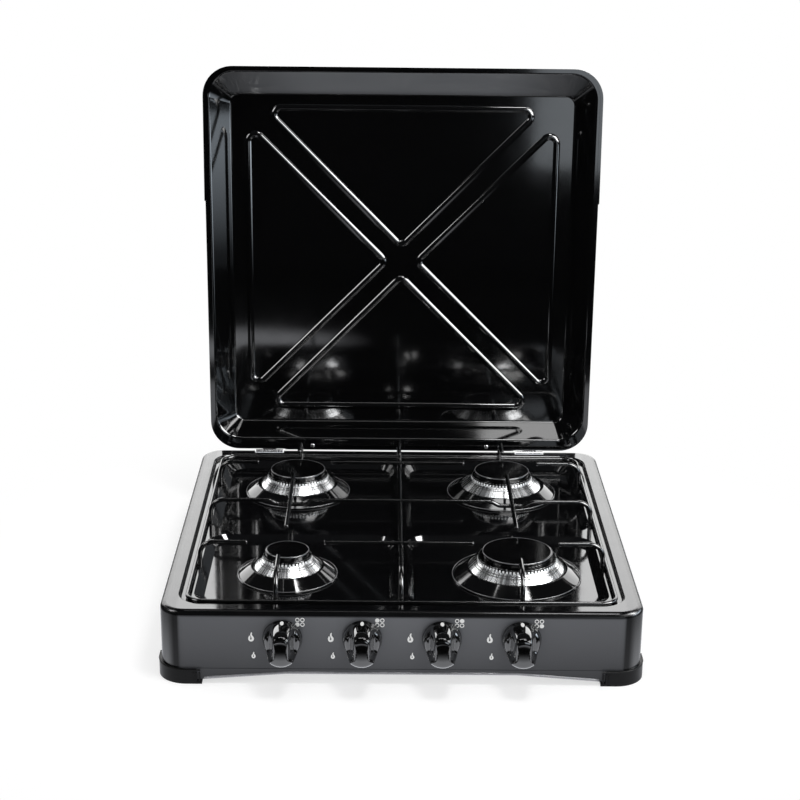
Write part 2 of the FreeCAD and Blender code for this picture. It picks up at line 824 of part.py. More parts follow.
def make_cup(burner):
    """The aluminium cup: a well that the tube enters, a seat on the collar, a sloped flange."""
    body = new_body("burner_cup_" + burner.name)
    inner = S.cup_radius - S.cup_wall
    seat = floor_height + S.collar_sheet
    under = S.ring_seat_height - S.flange_thickness
    edge_under = flange_edge - S.flange_thickness
    points = [
        (0, S.cup_bottom),
        (S.cup_radius, S.cup_bottom),
        (S.cup_radius, seat),
        (S.cup_seat_radius, seat),
        (S.cup_seat_radius, S.cup_seat_top),
        (S.cup_neck_radius, S.cup_seat_top),
        (S.cup_neck_radius, under),
        (burner.ring - S.cup_wall / 4, under),
        (burner.flange - S.cup_wall / 4, edge_under),
        (burner.flange, flange_edge),
        (burner.ring, S.ring_seat_height),
        (inner, S.ring_seat_height),
        (inner, S.cup_bottom + S.cup_wall),
        (0, S.cup_bottom + S.cup_wall),
    ]
    add_turned(body, points)
    sketch = new_sketch(body, "XY_Plane", seat)
    for side in (-1, 1):
        draw_circle(sketch, S.burner_screw_radius, S.burner_screw_circle * side, 0)
    add_pocket(body, sketch, S.burner_screw_bite, flipped=True)
    if burner.from_front:
        sketch = new_sketch(body, "XZ_Plane")
        draw_circle(sketch, S.tube_radius, burner.knob_x - burner.x, S.tube_height)
        add_pocket(body, sketch, S.cup_radius + S.cup_wall, flipped=True)
    else:
        sketch = new_sketch(body, "YZ_Plane")
        draw_circle(sketch, S.tube_radius, 0, S.tube_height)
        add_pocket(body, sketch, S.cup_radius + S.cup_wall, flipped=burner.x.number < 0)
    bind_place(body, burner.x, burner.y)
    return body


def make_ring(burner):
    """The toothed flame ring: it stands in the cup's well and carries the cap on its teeth."""
    body = new_body("flame_ring_" + burner.name)
    inner = burner.ring - S.ring_wall
    spigot = S.cup_radius - S.cup_wall - S.spigot_clearance
    spigot_inner = spigot - S.ring_spigot_wall
    floor = S.ring_seat_height + S.ring_height / 4
    points = [
        (spigot_inner, S.ring_seat_height - S.ring_spigot_depth),
        (spigot, S.ring_seat_height - S.ring_spigot_depth),
        (spigot, S.ring_seat_height),
        (burner.ring, S.ring_seat_height),
        (burner.ring, ring_top),
    ]
    if inner.number > spigot_inner.number + S.ring_spigot_wall.number:
        points += [(inner, ring_top), (inner, floor), (spigot_inner, floor)]
    else:
        points += [(spigot_inner, ring_top)]
    add_turned(body, points)
    sketch = new_sketch(body, "XY_Plane", ring_top)
    near = burner.ring - S.ring_wall * 0.45
    far = burner.ring + S.tooth_gap
    half = S.tooth_gap / 2
    draw_polygon(sketch, [(near, -half), (far, -half), (far, half), (near, half)])
    pocket = add_pocket(body, sketch, S.tooth_depth)
    pattern = body.newObject("PartDesign::PolarPattern", body.Name + "_teeth")
    pattern.Originals = [pocket]
    for feature in body.Origin.OriginFeatures:
        if feature.Role == "Z_Axis":
            pattern.Axis = (feature, [""])
    pattern.Angle = 360
    count = Length(
        "round(2 * pi * %s / %s)" % (burner.ring.text, S.tooth_pitch.text),
        round(2 * math.pi * burner.ring.number / S.tooth_pitch.number),
    )
    pattern.Occurrences = int(count.number)
    pattern.setExpression("Occurrences", count.text)
    body.Tip = pattern
    doc.recompute()
    bind_place(body, burner.x, burner.y)
    return body


def make_cap(burner):
    body = new_body("burner_cap_" + burner.name)
    spigot = S.cup_radius - S.cup_wall - S.spigot_clearance * 2 - S.ring_spigot_wall
    points = [
        (0, ring_top - S.cap_spigot_depth),
        (spigot, ring_top - S.cap_spigot_depth),
        (spigot, ring_top),
        (burner.cap, ring_top),
        (burner.cap, cap_top),
        (0, cap_top),
    ]
    add_turned(body, points)
    add_fillet(body, S.cap_fillet, lambda edge: flat_at(edge, cap_top))
    bind_place(body, burner.x, burner.y)
    return body


def make_burner_screws():
    """Two pan head screws for each burner, up through the pool floor into the cup's seat."""
    screws = []
    tip = floor_height + S.collar_sheet + S.burner_screw_bite
    head = floor_underside - S.burner_screw_head_height
    for burner in burners:
        for side, name in ((-1, "left"), (1, "right")):
            body = new_body("screw_%s_%s" % (burner.name, name))
            points = [
                (0, head),
                (S.burner_screw_head, head),
                (S.burner_screw_head, floor_underside),
                (S.burner_screw_radius, floor_underside),
                (S.burner_screw_radius, tip),
                (0, tip),
            ]
            add_turned(body, points)
            bind_place(body, burner.x + S.burner_screw_circle * side, burner.y)
            screws.append(body)
    return group("burner_screws", screws)


for item in burners:
    subparts.append(make_collar(item))
for item in burners:
    subparts.append(make_cup(item))
for item in burners:
    subparts.append(make_ring(item))
for item in burners:
    subparts.append(make_cap(item))
subparts.append(make_burner_screws())

wire_radius = S.wire_diameter / 2
rail_height = ledge_height + S.rail_clearance + wire_radius
riser_x = rail_x - S.wire_diameter - S.weld_gap
riser_y = rail_y - S.wire_diameter - S.weld_gap
riser_bottom = rail_height - S.riser_below_rail
lower_wire = S.grid_height - S.wire_diameter - S.weld_gap / 2
cross_bar_x = half_width - S.cross_bar_inset


def make_wire(name, plane, lift, points, radii, closed=False, rounded=()):
    """A round wire along a path. The path starts upright, or along the plane's first axis."""
    body = new_body(name)
    path = new_sketch(body, plane, lift)
    draw_path(path, points, radii, closed)
    doc.recompute()
    start = points[0]
    upright = abs(float(points[1][0]) - float(start[0])) < 0.001
    if plane == "XZ_Plane" and upright:
        profile = new_sketch(body, "XY_Plane", start[1])
        draw_circle(profile, wire_radius, start[0], -lift)
    elif plane == "XZ_Plane":
        profile = new_sketch(body, "YZ_Plane", start[0])
        draw_circle(profile, wire_radius, -lift, start[1])
    elif upright:
        profile = new_sketch(body, "XY_Plane", start[1])
        draw_circle(profile, wire_radius, lift, start[0])
    else:
        profile = new_sketch(body, "XZ_Plane", -start[0])
        draw_circle(profile, wire_radius, lift, start[1])
    doc.recompute()
    add_pipe(body, profile, path)
    for index in rounded:
        a, b = float(points[index][0]), float(points[index][1])
        centre = FreeCAD.Vector(a, -float(lift), b)
        if plane == "YZ_Plane":
            centre = FreeCAD.Vector(float(lift), a, b)
        add_fillet(body, S.wire_tip_fillet, lambda edge: round_edge_at(edge, wire_radius, centre))
    return body


def make_rail():
    """The closed rail that lies on the ledge."""
    body = new_body("pan_support_rail")
    path = new_sketch(body, "XY_Plane", rail_height)
    x = rail_x
    y = rail_y
    draw_rounded(path, -x, x, -y, y, S.rail_corner)
    profile = new_sketch(body, "YZ_Plane", S.rail_corner - x)
    draw_circle(profile, wire_radius, -y, rail_height)
    doc.recompute()
    add_pipe(body, profile, path)
    return body


def make_cross_wires():
    """The long wire over the middle and the centre wire under it."""
    top = S.grid_height
    dip_inner = cross_bar_x - S.cross_dip_half
    dip_outer = cross_bar_x + S.cross_dip_half
    half = [
        (riser_x, riser_bottom),
        (riser_x, top),
        (dip_outer + S.dip_run, top),
        (dip_outer, lower_wire),
        (dip_inner, lower_wire),
        (dip_inner - S.dip_run, top),
    ]
    points = [(-x, z) for x, z in half] + half[::-1]
    radii = [S.finger_bend, S.finger_bend] + [S.wire_dip_bend] * 8 + [S.finger_bend] * 2
    long_wire = make_wire("long_wire", "XZ_Plane", none, points, radii)
    dip = rear_left.y + S.centre_dip_reach
    points = [
        (-riser_y, riser_bottom),
        (-riser_y, top),
        (-dip - S.dip_run, top),
        (-dip, lower_wire),
        (dip, lower_wire),
        (dip + S.dip_run, top),
        (riser_y, top),
        (riser_y, riser_bottom),
    ]
    bends = [S.end_finger_bend] * 2
    radii = bends + [S.wire_dip_bend] * 4 + bends
    centre_wire = make_wire("centre_wire", "YZ_Plane", S.centre_wire_x, points, radii)
    return group("pan_support_cross_wires", [long_wire, centre_wire])


def make_bars():
    """Two cross bars over the long wire and two middle bars over the centre wire."""
    bars = []
    top = S.grid_height
    for side, name in ((-1, "left"), (1, "right")):
        ends = [(S.cross_bar_front, top), (S.cross_bar_rear, top)]
        place = cross_bar_x * side
        bars.append(make_wire("cross_bar_" + name, "YZ_Plane", place, ends, [], False, (0, 1)))
    for name, row in (("front", front_left.y), ("rear", rear_left.y)):
        ends = [(S.mid_bar_left, top), (S.mid_bar_right, top)]
        bars.append(make_wire("mid_bar_" + name, "XZ_Plane", -row, ends, [], False, (0, 1)))
    return group("pan_support_bars", bars)


def make_fingers():
    """Four side fingers and four end fingers, bent over from the rail towards the burners."""
    fingers = []
    for burner in burners:
        side = -1 if burner.x.number < 0 else 1
        tip = burner.x + getattr(S, burner.name + "_finger") * side
        points = [(riser_x * side, riser_bottom), (riser_x * side, S.grid_height)]
        points.append((tip, S.grid_height))
        name = "side_finger_" + burner.name
        radii = [S.finger_bend] * 3
        row = -front_left.y if burner.from_front else -rear_left.y
        fingers.append(make_wire(name, "XZ_Plane", row, points, radii, False, (2,)))
    front_left_place = S.front_left_finger_inset - half_width
    rear_right_place = half_width - S.rear_right_finger_inset
    for burner, place, tip in (
        (front_left, front_left_place, S.front_left_end_finger),
        (front_right, front_right.x, S.front_right_end_finger),
        (rear_left, rear_left.x, S.rear_end_finger),
        (rear_right, rear_right_place, S.rear_end_finger),
    ):
        side = -1 if burner.from_front else 1
        points = [(riser_y * side, riser_bottom), (riser_y * side, S.grid_height)]
        points.append((burner.y + tip * side, S.grid_height))
        name = "end_finger_" + burner.name
        radii = [S.end_finger_bend] * 3
        fingers.append(make_wire(name, "YZ_Plane", place, points, radii, False, (2,)))
    return group("pan_support_fingers", fingers)


subparts.append(make_rail())
subparts.append(make_cross_wires())
subparts.append(make_bars())
subparts.append(make_fingers())

# Taps: local Y is the spindle's axis, local Z is up, with 0 at the axis
tap_front = -half_depth + S.sheet_thickness + S.tap_front_gap
tap_rear = tap_front + S.tap_length
bore_rear = tap_front + S.plug_length + S.plug_end_gap
plug_rear = tap_front + S.plug_length
plug_bore = S.plug_radius + S.running_gap
knob_back = -half_depth - S.push_travel - S.push_clearance
knob_front = -half_depth - S.knob_reach
spindle_front = knob_back - S.spindle_grip
spindle_rear = spindle_front + S.spindle_grip + S.spindle_depth + S.push_travel
rail_drop = S.knob_height - S.gas_rail_height


def draw_flatted(sketch, gap):
    """The spindle's D outline, with the same gap all round."""
    radius = S.spindle_radius + gap
    flat = S.spindle_flat + gap
    r = radius.number
    f = flat.number
    rise = math.sqrt(r * r - f * f)
    angle = math.atan2(rise, f)
    circle = Part.Circle(FreeCAD.Vector(0, 0, 0), FreeCAD.Vector(0, 0, 1), r)
    arc = sketch.addGeometry(Part.ArcOfCircle(circle, angle, 2 * math.pi - angle), False)
    line = sketch.addGeometry(Part.LineSegment(vector((f, -rise)), vector((f, rise))), False)
    sketch.addConstraint(Sketcher.Constraint("Coincident", arc, 2, line, 1))
    sketch.addConstraint(Sketcher.Constraint("Coincident", line, 2, arc, 1))
    sketch.addConstraint(Sketcher.Constraint("Coincident", arc, 3, -1, 1))
    sketch.addConstraint(Sketcher.Constraint("Vertical", line))
    bind_constraint(sketch, "Radius", (arc,), radius)
    bind_constraint(sketch, "DistanceX", (line, 1), flat)


def make_tap_body(number, x):
    """The tap's casting on its saddle, and the bonnet plate that keeps the plug in."""
    body = new_body("tap_casting_%d" % number)
    half = S.gas_rail_radius
    sketch = new_sketch(body, "YZ_Plane")
    low = -rail_drop
    ends = (feed_y - half, feed_y + half)
    draw_polygon(sketch, [(ends[0], low), (ends[1], low), (ends[1], 0), (ends[0], 0)])
    add_pad(body, sketch, S.saddle_width, midplane=True)
    outline = [(0, tap_front), (S.tap_radius, tap_front)]
    outline += [(S.tap_radius, bore_rear), (S.tap_radius * 0.6, tap_rear), (0, tap_rear)]
    add_turned(body, outline, "XY_Plane")
    hollow = [
        (0, tap_front),
        (plug_bore, tap_front),
        (plug_bore, bore_rear),
        (S.outlet_radius, bore_rear),
        (S.outlet_radius, tap_rear - S.injector_thread_length),
        (S.injector_thread, tap_rear - S.injector_thread_length),
        (S.injector_thread, tap_rear),
        (0, tap_rear),
    ]
    add_turned(body, hollow, "XY_Plane", cut=True)
    sketch = new_sketch(body, "YZ_Plane")
    draw_circle(sketch, S.gas_rail_radius, feed_y, -rail_drop)
    add_pocket(body, sketch, S.saddle_width * 2, midplane=True)
    sketch = new_sketch(body, "XY_Plane")
    draw_circle(sketch, S.gas_port_radius, 0, feed_y)
    add_pocket(body, sketch, rail_drop)
    plate = new_body("tap_bonnet_%d" % number)
    rear = tap_front
    front = tap_front - S.bonnet_thickness
    outline = [(S.bonnet_hole_radius, front), (S.tap_radius, front)]
    outline += [(S.tap_radius, rear), (S.bonnet_hole_radius, rear)]
    add_turned(plate, outline, "XY_Plane")
    for item in (body, plate):
        bind_place(item, x, None, S.knob_height)
    return group("tap_body_%d" % number, [body, plate])


def make_plug(number, x):
    body = new_body("tap_plug_%d" % number)
    outline = [(0, tap_front), (S.plug_radius, tap_front), (S.plug_radius, plug_rear), (0, plug_rear)]
    add_turned(body, outline, "XY_Plane")
    sketch = new_sketch(body, "XZ_Plane", -tap_front)
    draw_flatted(sketch, S.running_gap)
    add_pocket(body, sketch, spindle_rear + S.push_travel + S.push_clearance - tap_front)
    sketch = new_sketch(body, "XZ_Plane", -plug_rear)
    draw_circle(sketch, S.outlet_radius)
    add_pocket(body, sketch, S.plug_length / 2, flipped=True)
    sketch = new_sketch(body, "YZ_Plane")
    draw_circle(sketch, S.gas_port_radius, feed_y, 0)
    add_pocket(body, sketch, S.plug_radius + S.running_gap)
    bind_place(body, x, None, S.knob_height)
    return body


def make_spindle(number, x):
    body = new_body("tap_spindle_%d" % number)
    sketch = new_sketch(body, "XZ_Plane", -spindle_rear)
    draw_flatted(sketch, none)
    add_pad(body, sketch, spindle_rear - spindle_front)
    bind_place(body, x, None, S.knob_height)
    return body


def make_knob(number, x):
    """A round flange, a shoulder and an upright grip, with a flatted socket at the back."""
    body = new_body("knob_%d" % number)
    shoulder_front = knob_back - S.knob_flange_thickness - S.knob_shoulder_height
    flange_front = knob_back - S.knob_flange_thickness
    outline = [
        (0, knob_back),
        (S.knob_flange_radius, knob_back),
        (S.knob_flange_radius, flange_front),
        (S.knob_shoulder_radius + S.knob_edge_fillet, flange_front),
        (S.knob_shoulder_radius - S.knob_edge_fillet, shoulder_front),
        (0, shoulder_front),
    ]
    add_turned(body, outline, "XY_Plane")
    sketch = new_sketch(body, "XZ_Plane", -flange_front)
    half = S.knob_grip_width / 2
    tall = S.knob_grip_length / 2
    draw_rounded(sketch, -half, half, -tall, tall, S.knob_grip_corner)
    add_pad(body, sketch, flange_front - knob_front)
    front = knob_front.number
    add_fillet(body, S.knob_fillet, lambda edge: edge.BoundBox.YMax < front + 0.01)
    rim = FreeCAD.Vector(0, flange_front.number, 0)
    flange = S.knob_flange_radius
    add_fillet(body, S.knob_edge_fillet, lambda edge: round_edge_at(edge, flange, rim))
    sketch = new_sketch(body, "XZ_Plane", -knob_back)
    draw_flatted(sketch, none)
    add_pocket(body, sketch, S.spindle_grip, flipped=True)
    bind_place(body, x, None, S.knob_height)
    return body


def make_injector(number, x):
    body = new_body("injector_%d" % number)
    start = tap_rear - S.injector_thread_length
    end = tap_rear + S.injector_length
    outline = [
        (S.injector_orifice, start),
        (S.injector_thread, start),
        (S.injector_thread, tap_rear),
        (S.injector_head, tap_rear),
        (S.injector_head, tap_rear + S.injector_length / 2),
        (S.injector_thread / 2, end),
        (S.injector_orifice, end),
    ]
    add_turned(body, outline, "XY_Plane")
    bind_place(body, x, None, S.knob_height)
    return body


def make_strap(number, x):
    """The strap that holds the rail in a tap's saddle."""
    body = new_body("rail_strap_%d" % number)
    inner = S.gas_rail_radius
    outer = inner + S.strap_thickness
    sketch = new_sketch(body, "YZ_Plane")
    draw_circle(sketch, outer, feed_y, -rail_drop)
    add_pad(body, sketch, S.strap_width, midplane=True)
    sketch = new_sketch(body, "YZ_Plane")
    top = -(S.tap_radius + S.strap_gap)
    ends = (feed_y - outer, feed_y + outer)
    draw_polygon(sketch, [(ends[0], -rail_drop), (ends[1], -rail_drop), (ends[1], top), (ends[0], top)])
    add_pad(body, sketch, S.strap_width, midplane=True)
    sketch = new_sketch(body, "YZ_Plane")
    draw_circle(sketch, inner, feed_y, -rail_drop)
    add_pocket(body, sketch, S.strap_width * 2, midplane=True)
    sketch = new_sketch(body, "YZ_Plane")
    ends = (feed_y - inner, feed_y + inner)
    high = top + S.strap_thickness
    draw_polygon(sketch, [(ends[0], -rail_drop), (ends[1], -rail_drop), (ends[1], high), (ends[0], high)])
    add_pocket(body, sketch, S.strap_width * 2, midplane=True)
    bind_place(body, x, None, S.knob_height)
    return body


injectors = []
straps = []
for index, column in enumerate(knob_columns):
    knob_x = S.knob_pitch * column
    subparts.append(make_tap_body(index + 1, knob_x))
    subparts.append(make_plug(index + 1, knob_x))
    subparts.append(make_spindle(index + 1, knob_x))
    subparts.append(make_knob(index + 1, knob_x))
    injectors.append(make_injector(index + 1, knob_x))
    straps.append(make_strap(index + 1, knob_x))
subparts.append(group("injectors", injectors))
subparts.append(group("rail_straps", straps))


def make_tube(burner):
    """A mixing tube from a tap's injector to its burner cup."""
    body = new_body("mixing_tube_" + burner.name)
    start = tap_rear + S.injector_length + S.tube_mouth_gap
    path = new_sketch(body, "XY_Plane", S.tube_height)
    if burner.from_front:
        end = burner.y - S.cup_radius + S.tube_insert
        draw_path(path, [(burner.knob_x, start), (burner.knob_x, end)], [])
    else:
        side = -1 if burner.x.number < 0 else 1
        end = burner.x - (S.cup_radius - S.tube_insert) * side
        points = [(burner.knob_x, start), (burner.knob_x, burner.y), (end, burner.y)]
        draw_path(path, points, [S.tube_bend] * 3)
    doc.recompute()
    for radius, cut in ((S.tube_radius, False), (S.tube_radius - S.tube_wall, True)):
        profile = new_sketch(body, "XZ_Plane", -start)
        draw_circle(profile, radius, burner.knob_x, S.tube_height)
        doc.recompute()
        add_pipe(body, profile, path, cut)
    return body


def make_gas_rail():
    """The rail, shut at its left end, with a gas port under each tap."""
    body = new_body("gas_rail")
    left = S.gas_rail_left_inset - half_width
    sketch = new_sketch(body, "YZ_Plane", left)
    draw_circle(sketch, S.gas_rail_radius, feed_y, S.gas_rail_height)
    add_pad(body, sketch, gas_rail_right - left)
    sketch = new_sketch(body, "YZ_Plane", gas_rail_right)
    draw_circle(sketch, S.feed_pipe_radius, feed_y, S.gas_rail_height)
    add_pocket(body, sketch, gas_rail_right - left - S.pipe_wall * 2)
    sketch = new_sketch(body, "XY_Plane", S.gas_rail_height + S.gas_rail_radius)
    for column in knob_columns:
        draw_circle(sketch, S.gas_port_radius, S.knob_pitch * column, feed_y)
    add_pocket(body, sketch, S.gas_rail_radius)
    return body


def make_feed_pipe():
    body = new_body("feed_pipe")
    path = new_sketch(body, "XY_Plane", S.gas_rail_height)
    start = gas_rail_right - S.feed_insert
    end = half_depth - S.sheet_thickness - S.inlet_flange_thickness
    draw_path(path, [(start, feed_y), (feed_x, feed_y), (feed_x, end)], [S.feed_bend] * 3)
    doc.recompute()
    for radius, cut in ((S.feed_pipe_radius, False), (S.feed_pipe_radius - S.pipe_wall, True)):
        profile = new_sketch(body, "YZ_Plane", start)
        draw_circle(profile, radius, feed_y, S.gas_rail_height)
        doc.recompute()
        add_pipe(body, profile, path, cut)
    return body


def make_inlet():
    """The threaded gas inlet: socket of the pipe, flange inside the rear skirt, thread outside.

    A groove parts the thread of the locknut from the thread of the hose nut.
    """
    body = new_body("gas_inlet")
    wall = half_depth - S.sheet_thickness
    flange = wall - S.inlet_flange_thickness
    groove = half_depth + S.inlet_nut_height
    groove_end = groove + S.inlet_groove_width
    groove_radius = S.inlet_thread_radius - S.inlet_groove_depth
    end = half_depth + S.inlet_length
    outline = [
        (S.feed_pipe_radius, flange - S.inlet_socket_length),
        (S.inlet_socket_radius, flange - S.inlet_socket_length),
        (S.inlet_socket_radius, flange),
        (S.inlet_flange_radius, flange),
        (S.inlet_flange_radius, wall),
        (S.inlet_thread_radius, wall),
        (S.inlet_thread_radius, groove),
        (groove_radius, groove),
        (groove_radius, groove_end),
        (S.inlet_thread_radius, groove_end),
        (S.inlet_thread_radius, end),
        (S.inlet_bore, end),
        (S.inlet_bore, flange),
        (S.feed_pipe_radius, flange),
    ]
    add_turned(body, outline, "XY_Plane")
    bind_place(body, feed_x, None, S.gas_rail_height)
    return body


def make_inlet_nut():
    body = new_body("inlet_nut")
    sketch = new_sketch(body, "XZ_Plane", -half_depth)
    flats = S.inlet_nut_flats / 2
    slant = flats / math.sqrt(3)
    points = [
        (slant * 2, 0),
        (slant, flats),
        (-slant, flats),
        (slant * -2, 0),
        (-slant, -flats),
        (slant, -flats),
    ]
    draw_polygon(sketch, points)
    add_pad(body, sketch, S.inlet_nut_height, flipped=True)
    sketch = new_sketch(body, "XZ_Plane", -half_depth)
    draw_circle(sketch, S.inlet_thread_radius)
    add_pocket(body, sketch, S.inlet_nut_height)
    bind_place(body, feed_x, None, S.gas_rail_height)
    return body


def make_rail_brackets():
    """Two angle brackets, welded inside the front panel, that the gas rail lies on."""
    brackets = []
    wall = -half_depth + S.sheet_thickness
    top = S.gas_rail_height - S.gas_rail_radius
    thick = S.bracket_thickness
    for side, name in ((-1, "left"), (1, "right")):
        body = new_body("rail_bracket_" + name)
        sketch = new_sketch(body, "YZ_Plane", S.knob_pitch * side)
        points = [
            (wall, top - thick),
            (feed_y + S.rail_bracket_reach, top - thick),
            (feed_y + S.rail_bracket_reach, top),
            (wall + thick, top),
            (wall + thick, S.rail_bracket_top),
            (wall, S.rail_bracket_top),
        ]
        draw_polygon(sketch, points)
        add_pad(body, sketch, S.bracket_width, midplane=True)
        brackets.append(body)
    return group("rail_brackets", brackets)


def make_mouth_plate():
    """The plate under the front pools that holds the mouths of the four mixing tubes."""
    body = new_body("tube_mouth_plate")
    front = -half_depth + S.mouth_plate_inset
    thick = S.bracket_thickness
    top = floor_underside
    sketch = new_sketch(body, "YZ_Plane")
    points = [
        (front, S.mouth_plate_bottom),
        (front + thick, S.mouth_plate_bottom),
        (front + thick, top - thick),
        (front + S.mouth_plate_flange, top - thick),
        (front + S.mouth_plate_flange, top),
        (front, top),
    ]
    draw_polygon(sketch, points)
    add_pad(body, sketch, S.knob_pitch * 3 + S.mouth_plate_side * 2, midplane=True)
    sketch = new_sketch(body, "XZ_Plane", -front)
    for column in knob_columns:
        draw_circle(sketch, S.tube_radius, S.knob_pitch * column, S.tube_height)
    add_pocket(body, sketch, thick)
    return body


def make_hanger():
    """The strap under the rear pools that carries the two long mixing tubes."""
    body = new_body("tube_hanger")
    thick = S.bracket_thickness
    bottom = S.tube_height - S.tube_radius - thick
    inner = S.knob_pitch / 2 + S.tube_radius + S.hanger_gap
    outer = inner + thick
    far = outer + S.hanger_flange
    top = floor_underside
    half = [(outer, bottom), (outer, top - thick), (far, top - thick), (far, top), (inner, top)]
    half.append((inner, bottom + thick))
    points = half + [(-x, z) for x, z in half[::-1]]
    sketch = new_sketch(body, "XZ_Plane", -S.hanger_y)
    draw_polygon(sketch, points)
    add_pad(body, sketch, S.hanger_width, midplane=True)
    return body


for item in burners:
    subparts.append(make_tube(item))
subparts.append(make_gas_rail())
subparts.append(make_feed_pipe())
subparts.append(make_inlet())
subparts.append(make_inlet_nut())
subparts.append(make_rail_brackets())
subparts.append(make_mouth_plate())
subparts.append(make_hanger())

# Lid: local X along the hinge, local Y up the lid from the pin, local Z out of its inner face
hinge_y = half_depth - S.hinge_y_inset
hinge_z = S.rim_height + S.hinge_above_rim
lid_near = S.lid_edge_from_pin
lid_far = S.lid_edge_from_pin + lid_depth
flange_face = -S.lid_face_from_pin
flange_back = flange_face - S.lid_thickness


def stand_on_hinge(item):
    """Puts a piece of the lid on the hinge line, leaning back."""
    item.Placement.Rotation = FreeCAD.Rotation(FreeCAD.Vector(1, 0, 0), 90 - S.lid_lean.number)
    item.setExpression("Placement.Rotation.Angle", "(90 - %s) * 1 deg" % S.lid_lean.text)
    bind_place(item, None, hinge_y, hinge_z)


def cut_beads(body, radius):
    """Four closed triangular beads, pressed towards the inner face."""
    depth = flange_face - S.lid_height + S.bead_height - S.bead_radius
    centre = lid_near + lid_depth / 2 + S.bead_shift
    half_x = lid_width / 2
    half_y = lid_depth / 2
    for across, up in ((0, 1), (0, -1), (1, 0), (-1, 0)):
        corners = []
        for side in (-1, 1, 0):
            if up:
                reach = half_y - S.bead_inset if side else S.bead_apex
                x = (half_x - S.bead_end_inset) * side if side else 0
                corners.append((x, centre + reach * up))
            else:
                reach = half_x - S.bead_inset if side else S.bead_apex
                y = centre + (half_y - S.bead_end_inset) * side if side else centre
                corners.append((reach * across, y))
        path = new_sketch(body, "XY_Plane", depth)
        draw_path(path, corners, [S.bead_corner] * 3, closed=True)
        doc.recompute()
        if up:
            profile = new_sketch(body, "YZ_Plane")
            draw_circle(profile, radius, corners[0][1], depth)
        else:
            profile = new_sketch(body, "XZ_Plane", -centre)
            draw_circle(profile, radius, corners[0][0], depth)
        doc.recompute()
        add_pipe(body, profile, path, cut=True)


def press_lid(body, skin):
    """The sloped walls and the flat panel, a sheet further out when there is a skin."""
    side_shift = slope_shift(skin, S.lid_slope_side, S.lid_height)
    fold_side = lid_width / 2 - S.lid_flange_side + side_shift
    fold_near = lid_near + S.lid_flange_rear - slope_shift(skin, S.lid_slope_rear, S.lid_height)
    fold_far = lid_far - S.lid_flange_front + slope_shift(skin, S.lid_slope_front, S.lid_height)
    fold = flange_face - skin
    panel = fold - S.lid_height
    outlines = []
    for step, corner in ((0, S.lid_fold_corner), (1, S.lid_panel_corner)):
        side = fold_side - S.lid_slope_side * step
        near = fold_near + S.lid_slope_rear * step
        far = fold_far - S.lid_slope_front * step
        sketch = new_sketch(body, "XY_Plane", fold - S.lid_height * step)
        draw_rounded(sketch, -side, side, near, far, corner + side_shift)
        outlines.append(sketch)
    doc.recompute()
    add_loft(body, outlines[0], outlines[1])
    add_fillet(body, S.lid_panel_radius + skin, lambda edge: flat_at(edge, panel))

    def on_fold(edge):
        box = edge.BoundBox
        inside = box.YMax < fold_far.number + 0.01 and box.YMin > fold_near.number - 0.01
        return inside and flat_at(edge, fold, fold_side)

    add_fillet(body, S.lid_fold_radius - skin, on_fold)
    cut_beads(body, S.bead_radius - skin)


def draw_hem(sketch, inset, near):
    """Round the front of the lid and down its sides, which flare towards the open end."""
    side = lid_width / 2 - inset
    flare = side + S.lid_hem_flare
    far = lid_far - inset
    corners = [(-side, far), (side, far), (flare, near), (-flare, near)]
    corner = S.lid_corner - inset
    draw_path(sketch, corners, [corner, corner, S.lid_hem_end, S.lid_hem_end], closed=True)


def make_hem():
    """The edge folded back on itself, one sheet proud on the inner face."""
    hem = new_body("lid_hem")
    near = lid_far - S.lid_hem_length
    sketch = new_sketch(hem, "XY_Plane", flange_back)
    draw_hem(sketch, none, near)
    add_pad(hem, sketch, S.lid_thickness * 2)
    sketch = new_sketch(hem, "XY_Plane", flange_face + S.lid_thickness)
    draw_hem(sketch, S.lid_hem_width, near - S.lid_hem_width)
    add_pocket(hem, sketch, S.lid_thickness * 2)
    return hem


def make_lid_shell():
    outer = new_body("lid_outer_block")
    sketch = new_sketch(outer, "XY_Plane", flange_back)
    side = lid_width / 2
    draw_rounded(sketch, -side, side, lid_near, lid_far, S.lid_corner)
    add_pad(outer, sketch, S.lid_thickness)
    press_lid(outer, S.lid_thickness)
    sketch = new_sketch(outer, "XY_Plane", flange_face)
    for sign in (-1, 1):
        draw_circle(sketch, S.rivet_radius, rivet_x * sign, S.rivet_from_pin)
    add_pocket(outer, sketch, S.lid_thickness)
    inner = new_body("lid_inner_block")
    sketch = new_sketch(inner, "XY_Plane", flange_face)
    margin = S.lid_hem_width
    draw_rounded(sketch, -side - margin, side + margin, lid_near - margin, lid_far + margin, S.lid_corner)
    add_pad(inner, sketch, S.lid_height)
    press_lid(inner, none)
    pressed = join("Part::Cut", "lid_pressing", outer, inner)
    shell = join("Part::Fuse", "lid_shell", pressed, make_hem())
    stand_on_hinge(shell)
    return shell


